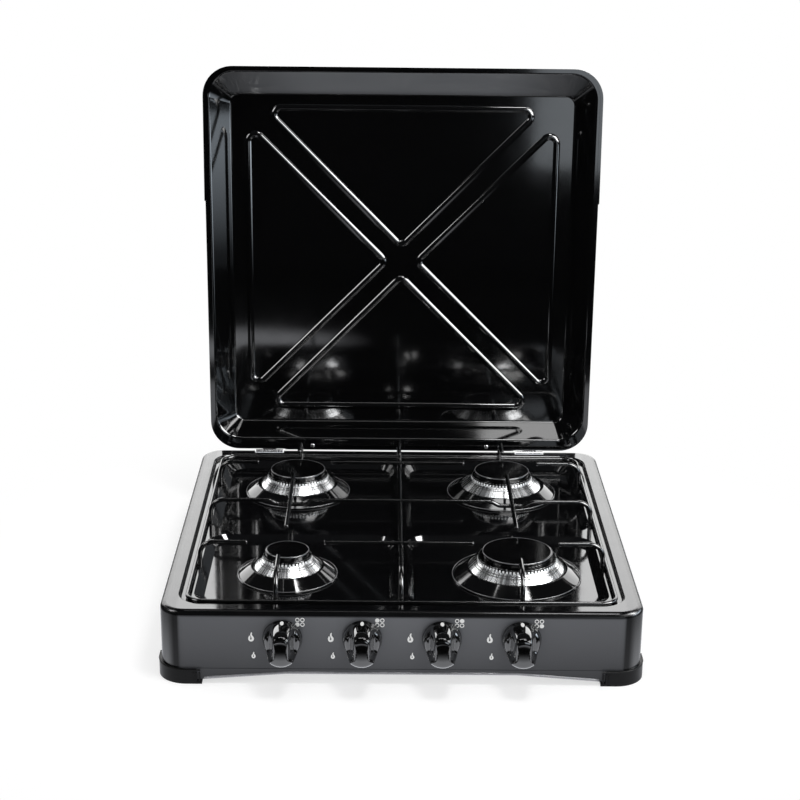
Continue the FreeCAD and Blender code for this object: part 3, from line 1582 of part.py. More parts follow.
def make_leaves():
    """Two hinge leaves: a knuckle on the pin, and a strip riveted behind the lid's flange."""
    leaves = []
    back = flange_back - S.leaf_thickness
    for side, name in ((-1, "left"), (1, "right")):
        body = new_body("hinge_leaf_" + name)
        centre = hinge_x * side
        sketch = new_sketch(body, "YZ_Plane", centre)
        draw_circle(sketch, S.knuckle_radius)
        add_pad(body, sketch, S.knuckle_length, midplane=True)
        sketch = new_sketch(body, "YZ_Plane", centre)
        points = [
            (0, -S.knuckle_radius),
            (lid_near, back),
            (S.leaf_height, back),
            (S.leaf_height, flange_back),
            (lid_near, flange_back),
            (S.pin_radius, -S.knuckle_radius * 0.7),
        ]
        draw_polygon(sketch, points)
        add_pad(body, sketch, S.knuckle_length, midplane=True)
        sketch = new_sketch(body, "XY_Plane", back)
        outer_x = (hinge_x + S.hinge_length / 2) * side
        inner_x = (rivet_x - S.leaf_beyond_rivet) * side
        left, right = (outer_x, inner_x) if side < 0 else (inner_x, outer_x)
        near = lid_near + S.knuckle_gap
        draw_polygon(sketch, [(left, near), (right, near), (right, S.leaf_height), (left, S.leaf_height)])
        add_pad(body, sketch, S.leaf_thickness)
        sketch = new_sketch(body, "YZ_Plane", centre)
        draw_circle(sketch, S.pin_radius + S.running_gap)
        add_pocket(body, sketch, S.hinge_length, midplane=True)
        sketch = new_sketch(body, "XY_Plane", flange_back)
        draw_circle(sketch, S.rivet_radius, rivet_x * side, S.rivet_from_pin)
        add_pocket(body, sketch, S.leaf_thickness)
        stand_on_hinge(body)
        leaves.append(body)
    return group("lid_hinge_leaves", leaves)


def make_rivets():
    rivets = []
    tail = flange_back - S.leaf_thickness
    for side, name in ((-1, "left"), (1, "right")):
        body = new_body("lid_rivet_" + name)
        head = flange_face + S.rivet_head_height
        sketch = new_sketch(body, "XY_Plane", tail)
        draw_circle(sketch, S.rivet_radius, rivet_x * side, S.rivet_from_pin)
        add_pad(body, sketch, flange_face - tail)
        sketch = new_sketch(body, "XY_Plane", flange_face)
        draw_circle(sketch, S.rivet_head_radius, rivet_x * side, S.rivet_from_pin)
        add_pad(body, sketch, S.rivet_head_height)
        add_fillet(body, S.rivet_head_height * 0.8, lambda edge: flat_at(edge, head))
        sketch = new_sketch(body, "XY_Plane", tail)
        draw_circle(sketch, S.rivet_head_radius, rivet_x * side, S.rivet_from_pin)
        add_pad(body, sketch, S.rivet_head_height, flipped=True)
        stand_on_hinge(body)
        rivets.append(body)
    return group("lid_rivets", rivets)


def make_hinge_brackets():
    """Two brackets welded inside the rear skirt. Each holds a pin by its two outer knuckles."""
    brackets = []
    wall = half_depth - S.sheet_thickness
    thick = S.bracket_thickness
    notch = S.rim_height - S.hinge_notch_depth
    for side, name in ((-1, "left"), (1, "right")):
        body = new_body("hinge_bracket_" + name)
        centre = hinge_x * side
        sketch = new_sketch(body, "YZ_Plane", centre)
        points = [
            (wall - thick, notch - S.hinge_plate_drop),
            (wall, notch - S.hinge_plate_drop),
            (wall, notch),
            (hinge_y + S.knuckle_radius, hinge_z),
            (hinge_y, hinge_z),
            (hinge_y + S.pin_radius, hinge_z - S.knuckle_radius),
            (wall - thick, notch - thick),
        ]
        draw_polygon(sketch, points)
        add_pad(body, sketch, S.hinge_length, midplane=True)
        sketch = new_sketch(body, "YZ_Plane", centre)
        draw_circle(sketch, S.knuckle_radius, hinge_y, hinge_z)
        add_pad(body, sketch, S.hinge_length, midplane=True)
        sketch = new_sketch(body, "YZ_Plane", centre)
        draw_circle(sketch, S.pin_radius, hinge_y, hinge_z)
        add_pocket(body, sketch, S.hinge_length * 2, midplane=True)
        sketch = new_sketch(body, "XY_Plane", S.rim_height + S.hinge_notch_depth)
        half = S.knuckle_length / 2 + S.knuckle_gap
        front = hinge_y - S.hinge_notch_depth
        rear = half_depth + S.skirt_step
        left = centre - half
        right = centre + half
        draw_polygon(sketch, [(left, front), (right, front), (right, rear), (left, rear)])
        add_pocket(body, sketch, S.hinge_notch_depth * 2)
        brackets.append(body)
    return group("hinge_brackets", brackets)


def make_pins():
    pins = []
    for side, name in ((-1, "left"), (1, "right")):
        body = new_body("hinge_pin_" + name)
        sketch = new_sketch(body, "YZ_Plane", hinge_x * side)
        draw_circle(sketch, S.pin_radius, hinge_y, hinge_z)
        add_pad(body, sketch, S.hinge_length, midplane=True)
        pins.append(body)
    return group("hinge_pins", pins)


subparts.append(make_lid_shell())
subparts.append(make_leaves())
subparts.append(make_rivets())
subparts.append(make_hinge_brackets())
subparts.append(make_pins())

doc.recompute()
for item in doc.Objects:
    for state in item.State:
        if state in ("Invalid", "Error"):
            raise ValueError("%s is in state %s" % (item.Name, state))
for item in subparts:
    if item.Shape.isNull() or not item.Shape.isValid():
        raise ValueError("%s has no valid shape" % item.Label)
for item in subparts:
    item.Shape.exportStep("parts/%s.step" % item.Label)
    print(item.Label, len(item.Shape.Solids), round(item.Shape.Volume))
print(len(subparts), "nodes")
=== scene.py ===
import json
import math

import bmesh
import bpy
from mathutils import Matrix, Vector


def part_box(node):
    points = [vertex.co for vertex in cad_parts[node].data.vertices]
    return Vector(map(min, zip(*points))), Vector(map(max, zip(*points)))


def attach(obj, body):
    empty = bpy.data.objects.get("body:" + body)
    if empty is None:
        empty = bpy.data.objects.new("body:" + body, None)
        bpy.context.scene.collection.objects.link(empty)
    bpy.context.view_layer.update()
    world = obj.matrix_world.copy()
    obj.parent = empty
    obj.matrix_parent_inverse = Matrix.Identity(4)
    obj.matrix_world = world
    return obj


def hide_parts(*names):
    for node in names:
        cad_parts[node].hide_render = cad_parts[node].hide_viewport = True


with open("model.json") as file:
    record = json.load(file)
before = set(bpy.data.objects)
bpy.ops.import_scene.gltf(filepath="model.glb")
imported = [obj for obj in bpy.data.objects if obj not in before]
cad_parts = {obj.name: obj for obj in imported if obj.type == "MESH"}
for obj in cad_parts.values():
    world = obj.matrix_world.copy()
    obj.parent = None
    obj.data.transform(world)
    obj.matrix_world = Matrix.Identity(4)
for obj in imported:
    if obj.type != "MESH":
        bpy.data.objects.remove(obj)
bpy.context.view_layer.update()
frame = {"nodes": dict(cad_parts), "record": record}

MM = 0.001
TO_RIGHT, TO_REAR, UPWARDS = (1, 0, 0), (0, 1, 0), (0, 0, 1)
BURNERS = ("front_left", "front_right", "rear_left", "rear_right")
scene = bpy.context.scene

# Noise scales that the finishes share, and the range in which most of a noise lies
FINE_GRAIN = 900.0
BROAD_PATCHES = 35.0
COAT_WAVE = 160.0
NOISE_LOW, NOISE_HIGH = 0.35, 0.65

ENAMEL_DARK = (0.0008, 0.0008, 0.0009)
ENAMEL_LIGHT = (0.0018, 0.0018, 0.0020)
WHITE = (1.0, 1.0, 1.0, 1.0)


def new_material(name):
    """A material with its Principled surface: (material, its node tree, the shader)."""
    material = bpy.data.materials.new(name)
    material.use_nodes = True
    tree = material.node_tree
    return material, tree, tree.nodes["Principled BSDF"]


def bare_material(name):
    """A material with nothing but its output: (material, its node tree, the surface socket)."""
    material = bpy.data.materials.new(name)
    material.use_nodes = True
    tree = material.node_tree
    tree.nodes.clear()
    return material, tree, tree.nodes.new("ShaderNodeOutputMaterial").inputs["Surface"]


def set_inputs(node, **inputs):
    """Sets a node's inputs by name, with _ for a space."""
    for name, value in inputs.items():
        node.inputs[name.replace("_", " ")].default_value = value
    return node


def add_node(tree, kind, **inputs):
    """A node with its inputs set by name."""
    return set_inputs(tree.nodes.new(kind), **inputs)


def position(tree):
    """The place in metres, in the object's own frame, which is the model's frame."""
    return tree.nodes.new("ShaderNodeTexCoord").outputs["Object"]


def split(tree, vector):
    """The three parts of a vector, by the names X, Y and Z."""
    node = tree.nodes.new("ShaderNodeSeparateXYZ")
    tree.links.new(vector, node.inputs["Vector"])
    return node.outputs


def noise(tree, scale, detail=3.0):
    """Noise in model space."""
    texture = add_node(tree, "ShaderNodeTexNoise", Scale=scale, Detail=detail)
    tree.links.new(position(tree), texture.inputs["Vector"])
    return texture.outputs["Fac"]


def remap(tree, value, low, high, start=0.0, end=1.0, smooth=False):
    """The value taken from the range start to end to the range low to high."""
    node = tree.nodes.new("ShaderNodeMapRange")
    node.interpolation_type = "SMOOTHSTEP" if smooth else "LINEAR"
    set_inputs(node, From_Min=start, From_Max=end, To_Min=low, To_Max=high)
    tree.links.new(value, node.inputs["Value"])
    return node.outputs["Result"]


def calculate(tree, operation, *values):
    """One sum of linked values and plain numbers."""
    node = tree.nodes.new("ShaderNodeMath")
    node.operation = operation
    for socket, value in zip(node.inputs, values):
        if isinstance(value, (int, float)):
            socket.default_value = value
        else:
            tree.links.new(value, socket)
    return node.outputs["Value"]


def product(tree, first, *others):
    """All the values multiplied, one after the other."""
    for value in others:
        first = calculate(tree, "MULTIPLY", first, value)
    return first


def vector_sum(tree, operation, first, second=None):
    """A vector node with a linked first vector and, where it needs one, a plain second one."""
    node = tree.nodes.new("ShaderNodeVectorMath")
    node.operation = operation
    tree.links.new(first, node.inputs[0])
    if second is not None:
        node.inputs[1].default_value = second
    return node.outputs


def mix_shaders(tree, share, first, second):
    """The first surface at share 0, the second at share 1."""
    mix = tree.nodes.new("ShaderNodeMixShader")
    tree.links.new(share, mix.inputs["Fac"])
    tree.links.new(first, mix.inputs[1])
    tree.links.new(second, mix.inputs[2])
    return mix.outputs["Shader"]


def add_bump(tree, shader, height, strength, distance):
    """A small relief from a linked height."""
    bump = add_node(tree, "ShaderNodeBump", Strength=strength, Distance=distance)
    tree.links.new(height, bump.inputs["Height"])
    tree.links.new(bump.outputs["Normal"], shader.inputs["Normal"])


def tint(tree, shader, value, dark, light):
    """The base colour runs between two colours with the value."""
    ramp = tree.nodes.new("ShaderNodeValToRGB")
    ramp.color_ramp.elements[0].color = (*dark, 1.0)
    ramp.color_ramp.elements[1].color = (*light, 1.0)
    tree.links.new(value, ramp.inputs["Fac"])
    tree.links.new(ramp.outputs["Color"], shader.inputs["Base Color"])


def roughen(tree, shader, value, limits, start=NOISE_LOW, end=NOISE_HIGH):
    """The roughness runs between two limits with the value."""
    low, high = limits
    tree.links.new(remap(tree, value, low, high, start, end), shader.inputs["Roughness"])


def enamel(name, roughness, ior, wave=0.00004):
    """Black vitreous enamel: a glossy coat with a faint wave in it."""
    material, tree, shader = new_material(name)
    tint(tree, shader, noise(tree, FINE_GRAIN), ENAMEL_DARK, ENAMEL_LIGHT)
    set_inputs(shader, IOR=ior)
    roughen(tree, shader, noise(tree, BROAD_PATCHES), roughness)
    add_bump(tree, shader, noise(tree, COAT_WAVE, 2.0), 0.35, wave)
    return material


def lid_enamel():
    """The lid's enamel: black gloss, with a painted grey sheen on the slope under its front edge,
    standing in for the light that slope catches.
    """
    material = enamel("lid_enamel_with_painted_sheen", (0.06, 0.075), 1.75, wave=0.00001)
    tree = material.node_tree
    shader = tree.nodes["Principled BSDF"]
    place = split(tree, position(tree))
    facing = split(tree, tree.nodes.new("ShaderNodeTexCoord").outputs["Normal"])
    under = remap(tree, facing["Z"], 1.0, 0.0, -0.62, -0.45, smooth=True)
    front = remap(tree, place["Z"], 0.0, 1.0, 0.520, 0.532, smooth=True)
    inside = remap(tree, place["Y"], 0.0, 1.0, 0.2490, 0.2500, smooth=True)
    aside = calculate(tree, "ABSOLUTE", place["X"])
    middle = remap(tree, aside, 1.0, 0.3, 0.10, 0.235, smooth=True)
    # Painted sheen: grey in the base colour of the slope under the front edge, in place of the
    # light it catches
    painted_sheen = product(tree, under, front, middle, inside)
    grain = product(tree, noise(tree, FINE_GRAIN), 0.01)
    painted_sheen_and_grain = calculate(tree, "ADD", painted_sheen, grain)
    tint(tree, shader, painted_sheen_and_grain, ENAMEL_DARK, (0.125, 0.129, 0.138))
    return material


def painted_edge_highlight_enamel(name, dark, light):
    """Grey enamel on rolled edges and rims, lighter than the rest: a painted highlight along them.
    """
    material, tree, shader = new_material(name)
    blue = 1.06
    tint(tree, shader, noise(tree, 300.0), (dark, dark, dark * blue), (light, light, light * blue))
    set_inputs(shader, IOR=1.9)
    roughen(tree, shader, noise(tree, BROAD_PATCHES), (0.16, 0.26))
    return material


def body_enamel():
    """The body's enamel: satin skirts with a painted grey sheen, a satin border, glossy black
    inside the ledge.
    """
    material, tree, shader = new_material("body_enamel_with_painted_sheen")
    set_inputs(shader, IOR=1.9)
    place = split(tree, position(tree))
    across = [calculate(tree, "ABSOLUTE", place[axis]) for axis in ("X", "Y")]
    nearer = calculate(tree, "MINIMUM", *across)
    farther = calculate(tree, "MAXIMUM", *across)

    # Painted sheen on the skirts, standing in for their reflection of the floor: brightest at the
    # top and in the middle, none at corners and rim
    flat = remap(tree, nearer, 1.0, 0.0, 0.222, 0.249, smooth=True)
    middle = remap(tree, nearer, 1.0, 0.72, 0.02, 0.22, smooth=True)
    height = remap(tree, place["Z"], 0.30, 1.0, 0.004, 0.070)
    below_rim = remap(tree, place["Z"], 1.0, 0.0, 0.0735, 0.0765, smooth=True)
    outside = remap(tree, farther, 0.0, 1.0, 0.2485, 0.2495, smooth=True)
    painted_sheen = product(tree, flat, middle, height, below_rim, outside)
    grain = product(tree, noise(tree, FINE_GRAIN), 0.02)
    painted_sheen_and_grain = calculate(tree, "ADD", painted_sheen, grain)
    tint(tree, shader, painted_sheen_and_grain, (0.0010, 0.0010, 0.0012), (0.120, 0.123, 0.133))

    border = remap(tree, across[0], 0.07, 0.24, 0.228, 0.234, smooth=True)
    skirt = remap(tree, farther, 0.07, 0.24, 0.2465, 0.2492, smooth=True)
    satin = calculate(tree, "MAXIMUM", border, skirt)
    patches = remap(tree, noise(tree, BROAD_PATCHES), -0.015, 0.015, NOISE_LOW, NOISE_HIGH)
    tree.links.new(calculate(tree, "ADD", satin, patches), shader.inputs["Roughness"])
    level = remap(tree, farther, 0.5, 0.10, 0.243, 0.247)
    tree.links.new(level, shader.inputs["Specular IOR Level"])
    add_bump(tree, shader, noise(tree, COAT_WAVE, 2.0), 0.35, 0.00004)
    return material


def foot_plastic():
    """Black moulded plastic with a fine grain."""
    material, tree, shader = new_material("foot_plastic_finish")
    grain = 600.0
    tint(tree, shader, noise(tree, grain), (0.0030, 0.0030, 0.0030), (0.0045, 0.0045, 0.0045))
    set_inputs(shader, IOR=1.36, Specular_IOR_Level=0.25)
    roughen(tree, shader, noise(tree, 80.0), (0.30, 0.42))
    add_bump(tree, shader, noise(tree, grain * 2), 0.2, 0.00003)
    return material


def knob_gloss():
    """Polished black plastic under a strong clear coat."""
    material, tree, shader = new_material("knob_plastic_finish")
    tint(tree, shader, noise(tree, 600.0), (0.0010, 0.0010, 0.0010), (0.0020, 0.0020, 0.0020))
    set_inputs(shader, IOR=1.6, Coat_Weight=1.0, Coat_IOR=1.7, Coat_Roughness=0.03)
    roughen(tree, shader, noise(tree, 80.0), (0.04, 0.07))
    return material


def metal(name, colour, roughness):
    """Bare metal with fine marks."""
    material, tree, shader = new_material(name)
    set_inputs(shader, Metallic=1.0)
    marks = noise(tree, 400.0, 4.0)
    tint(tree, shader, marks, tuple(part * 0.82 for part in colour), colour)
    roughen(tree, shader, marks, roughness, 0.3, 0.7)
    add_bump(tree, shader, marks, 0.25, 0.00003)
    return material


def burner_metal(name, centre, ring_radius):
    """Aluminium brushed outwards from a burner's axis, with painted shade: black inside the ring,
    and two dark lines round the teeth for the shade of grooves.
    """
    material, tree, shader = new_material(name)
    set_inputs(shader, Metallic=1.0)
    offset = vector_sum(tree, "SUBTRACT", position(tree), centre)["Vector"]
    flat = vector_sum(tree, "MULTIPLY", offset, (1.0, 1.0, 0.0))["Vector"]
    radius = vector_sum(tree, "LENGTH", flat)["Value"]
    heading = vector_sum(tree, "NORMALIZE", flat)["Vector"]
    streaks = add_node(tree, "ShaderNodeTexNoise", Scale=16.0, Detail=5.0, Roughness=0.7)
    tree.links.new(heading, streaks.inputs["Vector"])
    streaks = streaks.outputs["Fac"]
    inner, outer = ring_radius - 0.9 * MM, ring_radius - 0.3 * MM
    # Painted shade: black inside the ring, where its inner wall and the notches lie in shade under
    # the cap; elsewhere the brushed streaks
    shade = product(
        tree,
        remap(tree, streaks, 0.55, 1.0, 0.34, 0.58),
        remap(tree, radius, 0.01, 1.0, inner, outer),
    )
    # Painted shade: two dark lines round the teeth, standing in for the shade in grooves there
    for groove in (ring_radius + 2.2 * MM, ring_radius + 4.0 * MM):
        apart = calculate(tree, "ABSOLUTE", calculate(tree, "SUBTRACT", radius, groove))
        shade = product(tree, shade, remap(tree, apart, 0.2, 1.0, 0.2 * MM, 0.6 * MM))
    tint(tree, shader, shade, (0.0, 0.0, 0.0), (0.95, 0.96, 0.97))
    roughen(tree, shader, streaks, (0.20, 0.32), 0.3, 0.7)
    return material


def tooth_highlight_metal():
    """Aluminium of the teeth with a fine grain, pale and mostly unmetallic: a painted highlight,
    brighter than the ring's own metal.
    """
    material, tree, shader = new_material("tooth_aluminium_painted_highlight")
    tint(tree, shader, noise(tree, 500.0), (0.66, 0.67, 0.68), (0.84, 0.85, 0.86))
    set_inputs(shader, Metallic=0.15)
    roughen(tree, shader, noise(tree, 90.0), (0.30, 0.40))
    return material


def white_print():
    """White ink of the panel marks and the knobs' dots."""
    material, tree, shader = new_material("panel_mark_white")
    tint(tree, shader, noise(tree, 700.0), (0.72, 0.72, 0.71), (0.80, 0.80, 0.79))
    roughen(tree, shader, noise(tree, 300.0), (0.35, 0.5), 0.0, 1.0)
    return material


finishes = {
    "body_enamel": body_enamel(),
    "lid_enamel": lid_enamel(),
    "collar_enamel": enamel("collar_enamel_finish", (0.05, 0.09), 1.8),
    "cap_enamel": enamel("cap_enamel_finish", (0.10, 0.16), 1.6),
    "wire_enamel": enamel("wire_enamel_finish", (0.10, 0.16), 1.7),
    "foot_plastic": foot_plastic(),
    "knob_plastic": knob_gloss(),
    "burner_aluminium": metal("burner_aluminium_finish", (0.92, 0.93, 0.94), (0.20, 0.32)),
    "tube_aluminium": metal("tube_aluminium_finish", (0.76, 0.77, 0.78), (0.30, 0.42)),
    "tap_brass": metal("tap_brass_finish", (0.78, 0.60, 0.30), (0.24, 0.36)),
    "spindle_steel": metal("spindle_steel_finish", (0.62, 0.62, 0.63), (0.25, 0.35)),
    "pipe_steel": metal("pipe_steel_finish", (0.60, 0.61, 0.63), (0.30, 0.42)),
    "hinge_steel": metal("hinge_steel_finish", (0.70, 0.70, 0.71), (0.18, 0.30)),
    "fastener_steel": metal("fastener_steel_finish", (0.64, 0.64, 0.66), (0.25, 0.35)),
}
mark_white = white_print()
tooth_painted_highlight = tooth_highlight_metal()
# Grey enamels for the rims and the rolled skirt edges: painted highlights
edge_painted_highlight = painted_edge_highlight_enamel("edge_enamel_painted_highlight", 0.07, 0.16)
roll_painted_highlight = painted_edge_highlight_enamel("roll_enamel_painted_highlight", 0.16, 0.28)


def paint(node, material):
    """Gives a carried-over node its finish."""
    mesh = frame["nodes"][node].data
    mesh.materials.clear()
    mesh.materials.append(material)


for subpart in frame["record"]["subparts"]:
    paint(subpart["node"], finishes[subpart["material_slot"]])

for burner in BURNERS:
    low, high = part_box("flame_ring_" + burner)
    centre = ((low.x + high.x) / 2, (low.y + high.y) / 2, 0.0)
    brushed_metal_with_painted_shade = burner_metal("burner_metal_" + burner, centre, (high.x - low.x) / 2)
    for kind in ("burner_cup_", "flame_ring_"):
        paint(kind + burner, brushed_metal_with_painted_shade)


def build_object(name, body, material, shell):
    """A piece of the given (points, faces) that rides on a body."""
    points, faces = shell
    mesh = bpy.data.meshes.new(name)
    mesh.from_pydata([tuple(point) for point in points], [], faces)
    mesh.validate()
    mesh.materials.append(material)
    made = bpy.data.objects.new(name, mesh)
    scene.collection.objects.link(made)
    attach(made, body)
    return made


def add_beads(name, body, material, shells):
    """Several round beads as one smooth piece."""
    made = build_object(name, body, material, merge(shells))
    made.data.shade_smooth()


def clean_up(made, merge_within=None):
    """Turns the faces of a piece outwards, after merging points that lie close together."""
    mesh = bmesh.new()
    mesh.from_mesh(made.data)
    if merge_within is not None:
        bmesh.ops.remove_doubles(mesh, verts=mesh.verts, dist=merge_within)
    bmesh.ops.recalc_face_normals(mesh, faces=mesh.faces)
    mesh.to_mesh(made.data)
    mesh.free()


def merge(shells):
    """Several (points, faces) as one."""
    points = []
    faces = []
    for some_points, some_faces in shells:
        start = len(points)
        points += [Vector(point) for point in some_points]
        faces += [[index + start for index in face] for face in some_faces]
    return points, faces


def round_outline(centre, radius, steps=28):
    """A circle as pairs of numbers."""
    outline = []
    for i in range(steps):
        turn = math.tau * i / steps
        outline.append((centre[0] + radius * math.cos(turn), centre[1] + radius * math.sin(turn)))
    return outline


def circle(x, y, z, radius):
    """A level circle of points."""
    return [(around_x, around_y, z) for around_x, around_y in round_outline((x, y), radius, 96)]


def band_faces(count):
    """The faces of a ring with four corners in its section, each a circle of count points."""
    faces = []
    for band in range(4):
        first = band * count
        second = (band + 1) % 4 * count
        for i in range(count):
            j = (i + 1) % count
            faces.append([first + i, first + j, second + j, second + i])
    return faces


def raised_plate(outline, y_back, y_front):
    """A flat plate in the plane of the front panel, from an outline of (x, z)."""
    count = len(outline)
    points = [(x, y_front, z) for x, z in outline] + [(x, y_back, z) for x, z in outline]
    faces = [list(range(count)), list(range(2 * count - 1, count - 1, -1))]
    for i in range(count):
        j = (i + 1) % count
        faces.append([j, i, i + count, j + count])
    return points, faces


def raised_ring(centre, outer, inner, y_back, y_front):
    """A flat ring in the plane of the front panel."""
    points = []
    for radius, y in ((outer, y_front), (inner, y_front), (inner, y_back), (outer, y_back)):
        outline = round_outline(centre, radius)
        points += [(x, y, z) for x, z in outline]
    return points, band_faces(len(outline))


def disc(centre, radius, y_back, y_front):
    """A flat disc in the plane of the front panel."""
    return raised_plate(round_outline(centre, radius), y_back, y_front)


def ring_wall(x, y, bottom, top, inner, outer):
    """An upright ring."""
    points = []
    for radius, z in ((outer, bottom), (outer, top), (inner, top), (inner, bottom)):
        edge = circle(x, y, z, radius)
        points += edge
    return points, band_faces(len(edge))


def sweep(path, radius, closed=False):
    """A round bead along a path of points."""
    steps = 10
    count = len(path)
    path = [Vector(point) for point in path]
    points = []
    for i, centre in enumerate(path):
        before = path[i - 1] if closed or i else centre
        after = path[(i + 1) % count] if closed or i < count - 1 else centre
        ahead = (after - before).normalized()
        side = ahead.cross(Vector(UPWARDS))
        side = side.normalized() if side.length > 0.1 else Vector(TO_RIGHT)
        above = side.cross(ahead)
        for step in range(steps):
            turn = math.tau * step / steps
            across = side * (radius * math.cos(turn))
            points.append(centre + across + above * (radius * math.sin(turn)))
    faces = []
    for i in range(count if closed else count - 1):
        first = i * steps
        second = (i + 1) % count * steps
        for step in range(steps):
            after = (step + 1) % steps
            faces.append([first + step, first + after, second + after, second + step])
    if not closed:
        faces.append(list(range(steps))[::-1])
        faces.append([(count - 1) * steps + step for step in range(steps)])
    return points, faces


def smooth_step(value, start, end):
    """From 0 at start to 1 at end, level at both."""
    share = min(max((value - start) / (end - start), 0.0), 1.0)
    return share * share * (3 - 2 * share)


# Printed marks on the front panel, placed from the middle of each knob
panel_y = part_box("body_shell")[0].y
mark_front = panel_y - 0.10 * MM
mark_back = panel_y + 0.30 * MM
knob_centres = []
for number in (1, 2, 3, 4):
    low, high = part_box("knob_%d" % number)
    knob_centres.append(((low.x + high.x) / 2, (low.z + high.z) / 2))

SYMBOL_X, SYMBOL_Z = 17.9 * MM, 16.4 * MM
SYMBOL_STEP = 2.55 * MM
SYMBOL_OUTER, SYMBOL_INNER = 2.3 * MM, 1.45 * MM
# The ring that is filled at each knob, of the four that burner_symbol() goes through
FILLED_RING = (2, 0, 1, 3)
# Large and small flame: x, z, height
FLAMES = ((-32.2 * MM, -0.3 * MM, 10.5 * MM), (-30.0 * MM, -20.8 * MM, 7.4 * MM))
# Outline of a flame that is 2 high, with a slit up its middle
FLAME = (
    (-0.02, -1.00), (0.30, -0.92), (0.52, -0.66), (0.58, -0.36), (0.50, -0.08), (0.34, 0.14),
    (0.20, 0.34), (0.16, 0.58), (0.22, 0.80), (0.12, 1.00), (-0.08, 0.78), (-0.16, 0.50),
    (-0.12, 0.20), (0.02, -0.06), (0.12, -0.30), (0.08, -0.56), (-0.10, -0.66), (-0.20, -0.50),
    (-0.16, -0.28), (-0.10, -0.06), (-0.24, 0.12), (-0.30, 0.34), (-0.46, 0.08), (-0.58, -0.28),
    (-0.54, -0.62), (-0.34, -0.90),
)


def flame(x, z, height):
    """A small printed flame."""
    half = height / 2
    outline = [(x + across * half, z + up * half) for across, up in FLAME]
    return raised_plate(outline, mark_back, mark_front)


def burner_symbol(x, z, filled):
    """Two rows of two rings, with the ring of this knob's burner filled."""
    shells = []
    for index, (side, up) in enumerate(((-1, 1), (1, 1), (-1, -1), (1, -1))):
        place = (x + side * SYMBOL_STEP, z + up * SYMBOL_STEP)
        if index == filled:
            shells.append(disc(place, SYMBOL_OUTER, mark_back, mark_front))
        else:
            shells.append(raised_ring(place, SYMBOL_OUTER, SYMBOL_INNER, mark_back, mark_front))
    return merge(shells)


for number, (x, z) in enumerate(knob_centres, start=1):
    marks = [burner_symbol(x + SYMBOL_X, z + SYMBOL_Z, FILLED_RING[number - 1])]
    marks += [flame(x + across, z + up, height) for across, up, height in FLAMES]
    build_object("panel_marks_%d" % number, "base", mark_white, merge(marks))


# Teeth of the flame rings, with a dark ring of painted shade in the gaps between them, and rims of
# caps and collars in grey that paints their highlights
TOOTH_PITCH = 3.9 * MM
TOOTH_HALF_WIDTH = 1.0 * MM
TOOTH_HEIGHT = 3.6 * MM
TOOTH_REACH = 1.2 * MM
TOOTH_ROOT = 0.4 * MM
CAP_RIM_DROP, CAP_RIM_INSET, CAP_RIM_RADIUS = 0.8 * MM, 0.7 * MM, 0.65 * MM
COLLAR_RIM_RISE, COLLAR_RIM_INSET, COLLAR_RIM_RADIUS = 1.7 * MM, 0.2 * MM, 0.45 * MM


def tooth(x, y, z, radius, turn):
    """A leaning wedge on the outside of a flame ring, between two gaps."""
    corners = ((-TOOTH_ROOT, 0.0), (-TOOTH_ROOT, -TOOTH_HEIGHT), (TOOTH_REACH, -TOOTH_HEIGHT))
    points = []
    for out, up in corners:
        for side in (-1, 1):
            swing = turn + side * TOOTH_HALF_WIDTH / radius
            reach = radius + out
            points.append((x + reach * math.cos(swing), y + reach * math.sin(swing), z + up))
    faces = [[0, 2, 4], [1, 5, 3], [0, 4, 5, 1], [2, 3, 5, 4], [0, 1, 3, 2]]
    return points, faces


for burner in BURNERS:
    low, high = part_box("flame_ring_" + burner)
    x, y = (low.x + high.x) / 2, (low.y + high.y) / 2
    radius = (high.x - low.x) / 2
    count = round(math.tau * radius / TOOTH_PITCH)
    teeth = merge(
        [tooth(x, y, high.z, radius, math.tau * (i + 0.5) / count) for i in range(count)]
    )
    # Painted shade: a dark ring wall behind the teeth, so the gaps between them look shaded
    gap_shade = ring_wall(
        x, y,
        bottom=high.z - 3.8 * MM,
        top=high.z - 0.1 * MM,
        inner=radius - 0.3 * MM,
        outer=radius + 0.25 * MM,
    )
    ring = "flame_ring_" + burner
    dark = finishes["collar_enamel"]
    build_object("flame_ring_teeth_" + burner, ring, tooth_painted_highlight, teeth)
    build_object("flame_ring_gaps_" + burner, ring, dark, gap_shade)

    # Grey rims on the cap and the collar: painted highlights along their edges
    low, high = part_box("burner_cap_" + burner)
    radius = (high.x - low.x) / 2
    edge = circle(x, y, high.z - CAP_RIM_DROP, radius - CAP_RIM_INSET)
    rim = sweep(edge, CAP_RIM_RADIUS, closed=True)
    cap = "burner_cap_" + burner
    add_beads("burner_cap_rims_" + burner, cap, edge_painted_highlight, [rim])

    low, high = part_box("burner_collar_" + burner)
    radius = (high.x - low.x) / 2
    edge = circle(x, y, low.z + COLLAR_RIM_RISE, radius - COLLAR_RIM_INSET)
    rim = sweep(edge, COLLAR_RIM_RADIUS, closed=True)
    add_beads("burner_collar_rim_" + burner, "base", edge_painted_highlight, [rim])


# Rolled lower edges of the four skirts, in grey enamel as a painted highlight
HALF_BODY = 250.0 * MM
SKIRT_FACE = 250.3 * MM
SKIRT_ROLL_RADIUS = 1.5 * MM


def skirt_arch():
    """The lower edge of a skirt from foot to foot, as (along, z)."""
    low, top = 5.8 * MM, 12.3 * MM
    foot = HALF_BODY - 45.5 * MM
    knee = foot - 85.0 * MM
    steps = 12
    corners = [(-foot, low), (-knee, top), (knee, top), (foot, low)]
    path = []
    for (x0, z0), (x1, z1) in zip(corners, corners[1:]):
        path += [(x0 + (x1 - x0) * i / steps, z0 + (z1 - z0) * i / steps) for i in range(steps)]
    path.append(corners[-1])
    return path


